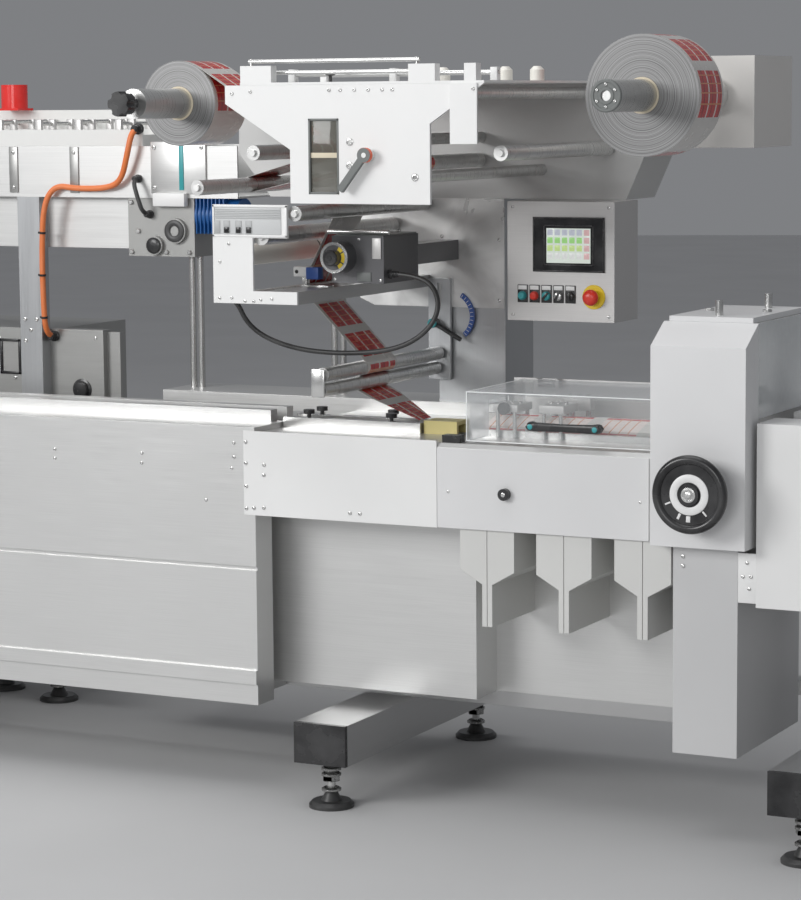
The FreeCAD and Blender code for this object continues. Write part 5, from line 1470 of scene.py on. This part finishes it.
screws("feeder_cabinet_screws", "feeder_cabinet", 5.0, [(-1150, 1040), (-1150, 960), (-1100, 930), (-830, 1050)])
lathe(
    "cabinet_knob",
    [(0, -1), (30, -1), (30, 3), (24, 5), (24, 12), (21, 16), (8, 18), (0, 18)],
    (-877.0, 440.0, 905.0),
    FRONT,
    M["black_plastic"],
    steps=40,
)
blocks(
    "cabinet_window_frame",
    frame_bars(-1149.0, -1079.0, 940.0, 1040.0, 436.0, 440.0, 8.0),
    "black_plastic",
    1.5,
)


# Feet
def foot_spots():
    """Centre and foot of each levelling screw, from the loose parts of its CAD node."""
    bm = bmesh.new()
    bm.from_mesh(nodes["foot_screws"].data)
    waiting = set(bm.verts)
    spots = []
    while waiting:
        group = {waiting.pop()}
        edge = set(group)
        while edge:
            edge = {e.other_vert(v) for v in edge for e in v.link_edges} - group
            group |= edge
        waiting -= group
        xs, ys, zs = zip(*(v.co for v in group))
        spots.append(Vector(((min(xs) + max(xs)) / 2, (min(ys) + max(ys)) / 2, min(zs))))
    bm.free()
    return spots


def feet():
    """Lock nuts, a collar and rolled threads on every levelling foot."""
    nuts, threads = bmesh.new(), bmesh.new()
    for spot in foot_spots():
        lathe_into(nuts, metres(hex_nut(23.0, 14.0)), spot + Vector((0, 0, 0.024)), TOP, 6)
        lathe_into(nuts, metres([(16, 0), (24, 0), (24, 5), (19, 8), (16, 8)]), spot, TOP, 32)
        outline = []
        for i in range(12):
            outline += [(16.1, 40.0 + 2.4 * i), (17.0, 41.2 + 2.4 * i)]
        lathe_into(threads, metres(outline), spot, TOP, 24)
    from_bmesh("foot_nuts", nuts, M["bare_metal"])
    from_bmesh("foot_threads", threads, M["bare_metal"])


feet()


# Ties on the feeder's cable
def cable_ties():
    """Ties round the feeder's cable where it runs along its leg, with their bracket tails."""
    line = hose_lines["feeder_cable"]
    total = line_length(line)
    bm = bmesh.new()
    for share in (0.62, 0.76, 0.9):
        walked = 0.0
        for a, b in zip(line, line[1:]):
            step = (b - a).length
            if walked + step >= share * total:
                spot = a.lerp(b, (share * total - walked) / step)
                outline = [(8.2, -3), (9.6, -3), (9.6, 3), (8.2, 3)]
                lathe_into(bm, metres(outline), spot, b - a, 24)
                box_into(
                    bm,
                    spot + Vector((-0.018, 0.004, -0.003)),
                    spot + Vector((-0.007, 0.010, 0.003)),
                    0.0008,
                )
                break
            walked += step
    return from_bmesh("cable_ties", bm, M["black_plastic"])


cable_ties()


# Stage
def stage_floor():
    """A wide round floor, open on every side so that no view is blocked."""
    radius, steps = 28.0, 96
    bm = bmesh.new()
    ring = []
    for i in range(steps):
        angle = 2 * math.pi * i / steps
        ring.append(bm.verts.new((radius * math.cos(angle), radius * math.sin(angle), 0.0)))
    bm.faces.new(ring)
    mesh = bpy.data.meshes.new("floor")
    bm.to_mesh(mesh)
    bm.free()
    floor = bpy.data.objects.new("floor", mesh)
    bpy.context.scene.collection.objects.link(floor)
    s = Shader("floor")
    cloud = noise(s, (1.0, 1.0, 1.0), 1.3, 3.0)
    s.link(tint(s, cloud, (0.52, 0.52, 0.52), (0.55, 0.55, 0.55)), s.surface.inputs["Base Color"])
    s.set("Roughness", 0.7)
    mesh.materials.append(s.material)


stage_floor()


def area_light(name, spot, target, size, power):
    data = bpy.data.lights.new(name, "AREA")
    data.shape = "RECTANGLE"
    data.size, data.size_y = size
    data.energy = power
    light = bpy.data.objects.new(name, data)
    bpy.context.scene.collection.objects.link(light)
    light.location = spot
    aim = Vector(target) - Vector(spot)
    light.rotation_euler = aim.to_track_quat("-Z", "Y").to_euler()


area_light("key", (-3.4, -6.0, 3.4), (0.0, 0.0, 0.9), (3.0, 2.4), 240.0)
area_light("front", (1.2, -7.5, 2.4), (0.2, 0.0, 0.9), (3.0, 2.0), 90.0)
area_light("top", (-0.6, -0.4, 5.2), (-0.2, 0.0, 0.6), (4.5, 3.0), 100.0)
world = bpy.data.worlds.new("world")
bpy.context.scene.world = world
world.use_nodes = True
links = world.node_tree.links
sky = world.node_tree.nodes["Background"]
sky.inputs["Color"].default_value = (0.93, 0.95, 1.0, 1.0)
sky.inputs["Strength"].default_value = 0.30
seen = world.node_tree.nodes.new("ShaderNodeBackground")
seen.inputs["Color"].default_value = (0.21, 0.215, 0.225, 1.0)
ray = world.node_tree.nodes.new("ShaderNodeLightPath")
direct = world.node_tree.nodes.new("ShaderNodeMath")
direct.operation = "MAXIMUM"
shown = world.node_tree.nodes.new("ShaderNodeMath")
shown.operation = "MAXIMUM"
choose = world.node_tree.nodes.new("ShaderNodeMixShader")
links.new(ray.outputs["Is Camera Ray"], direct.inputs[0])
links.new(ray.outputs["Is Glossy Ray"], direct.inputs[1])
links.new(direct.outputs["Value"], shown.inputs[0])
links.new(ray.outputs["Is Transmission Ray"], shown.inputs[1])
links.new(shown.outputs["Value"], choose.inputs["Fac"])
links.new(sky.outputs["Background"], choose.inputs[1])
links.new(seen.outputs["Background"], choose.inputs[2])
links.new(choose.outputs["Shader"], world.node_tree.nodes["World Output"].inputs["Surface"])
bpy.context.scene.view_settings.view_transform = "Standard"
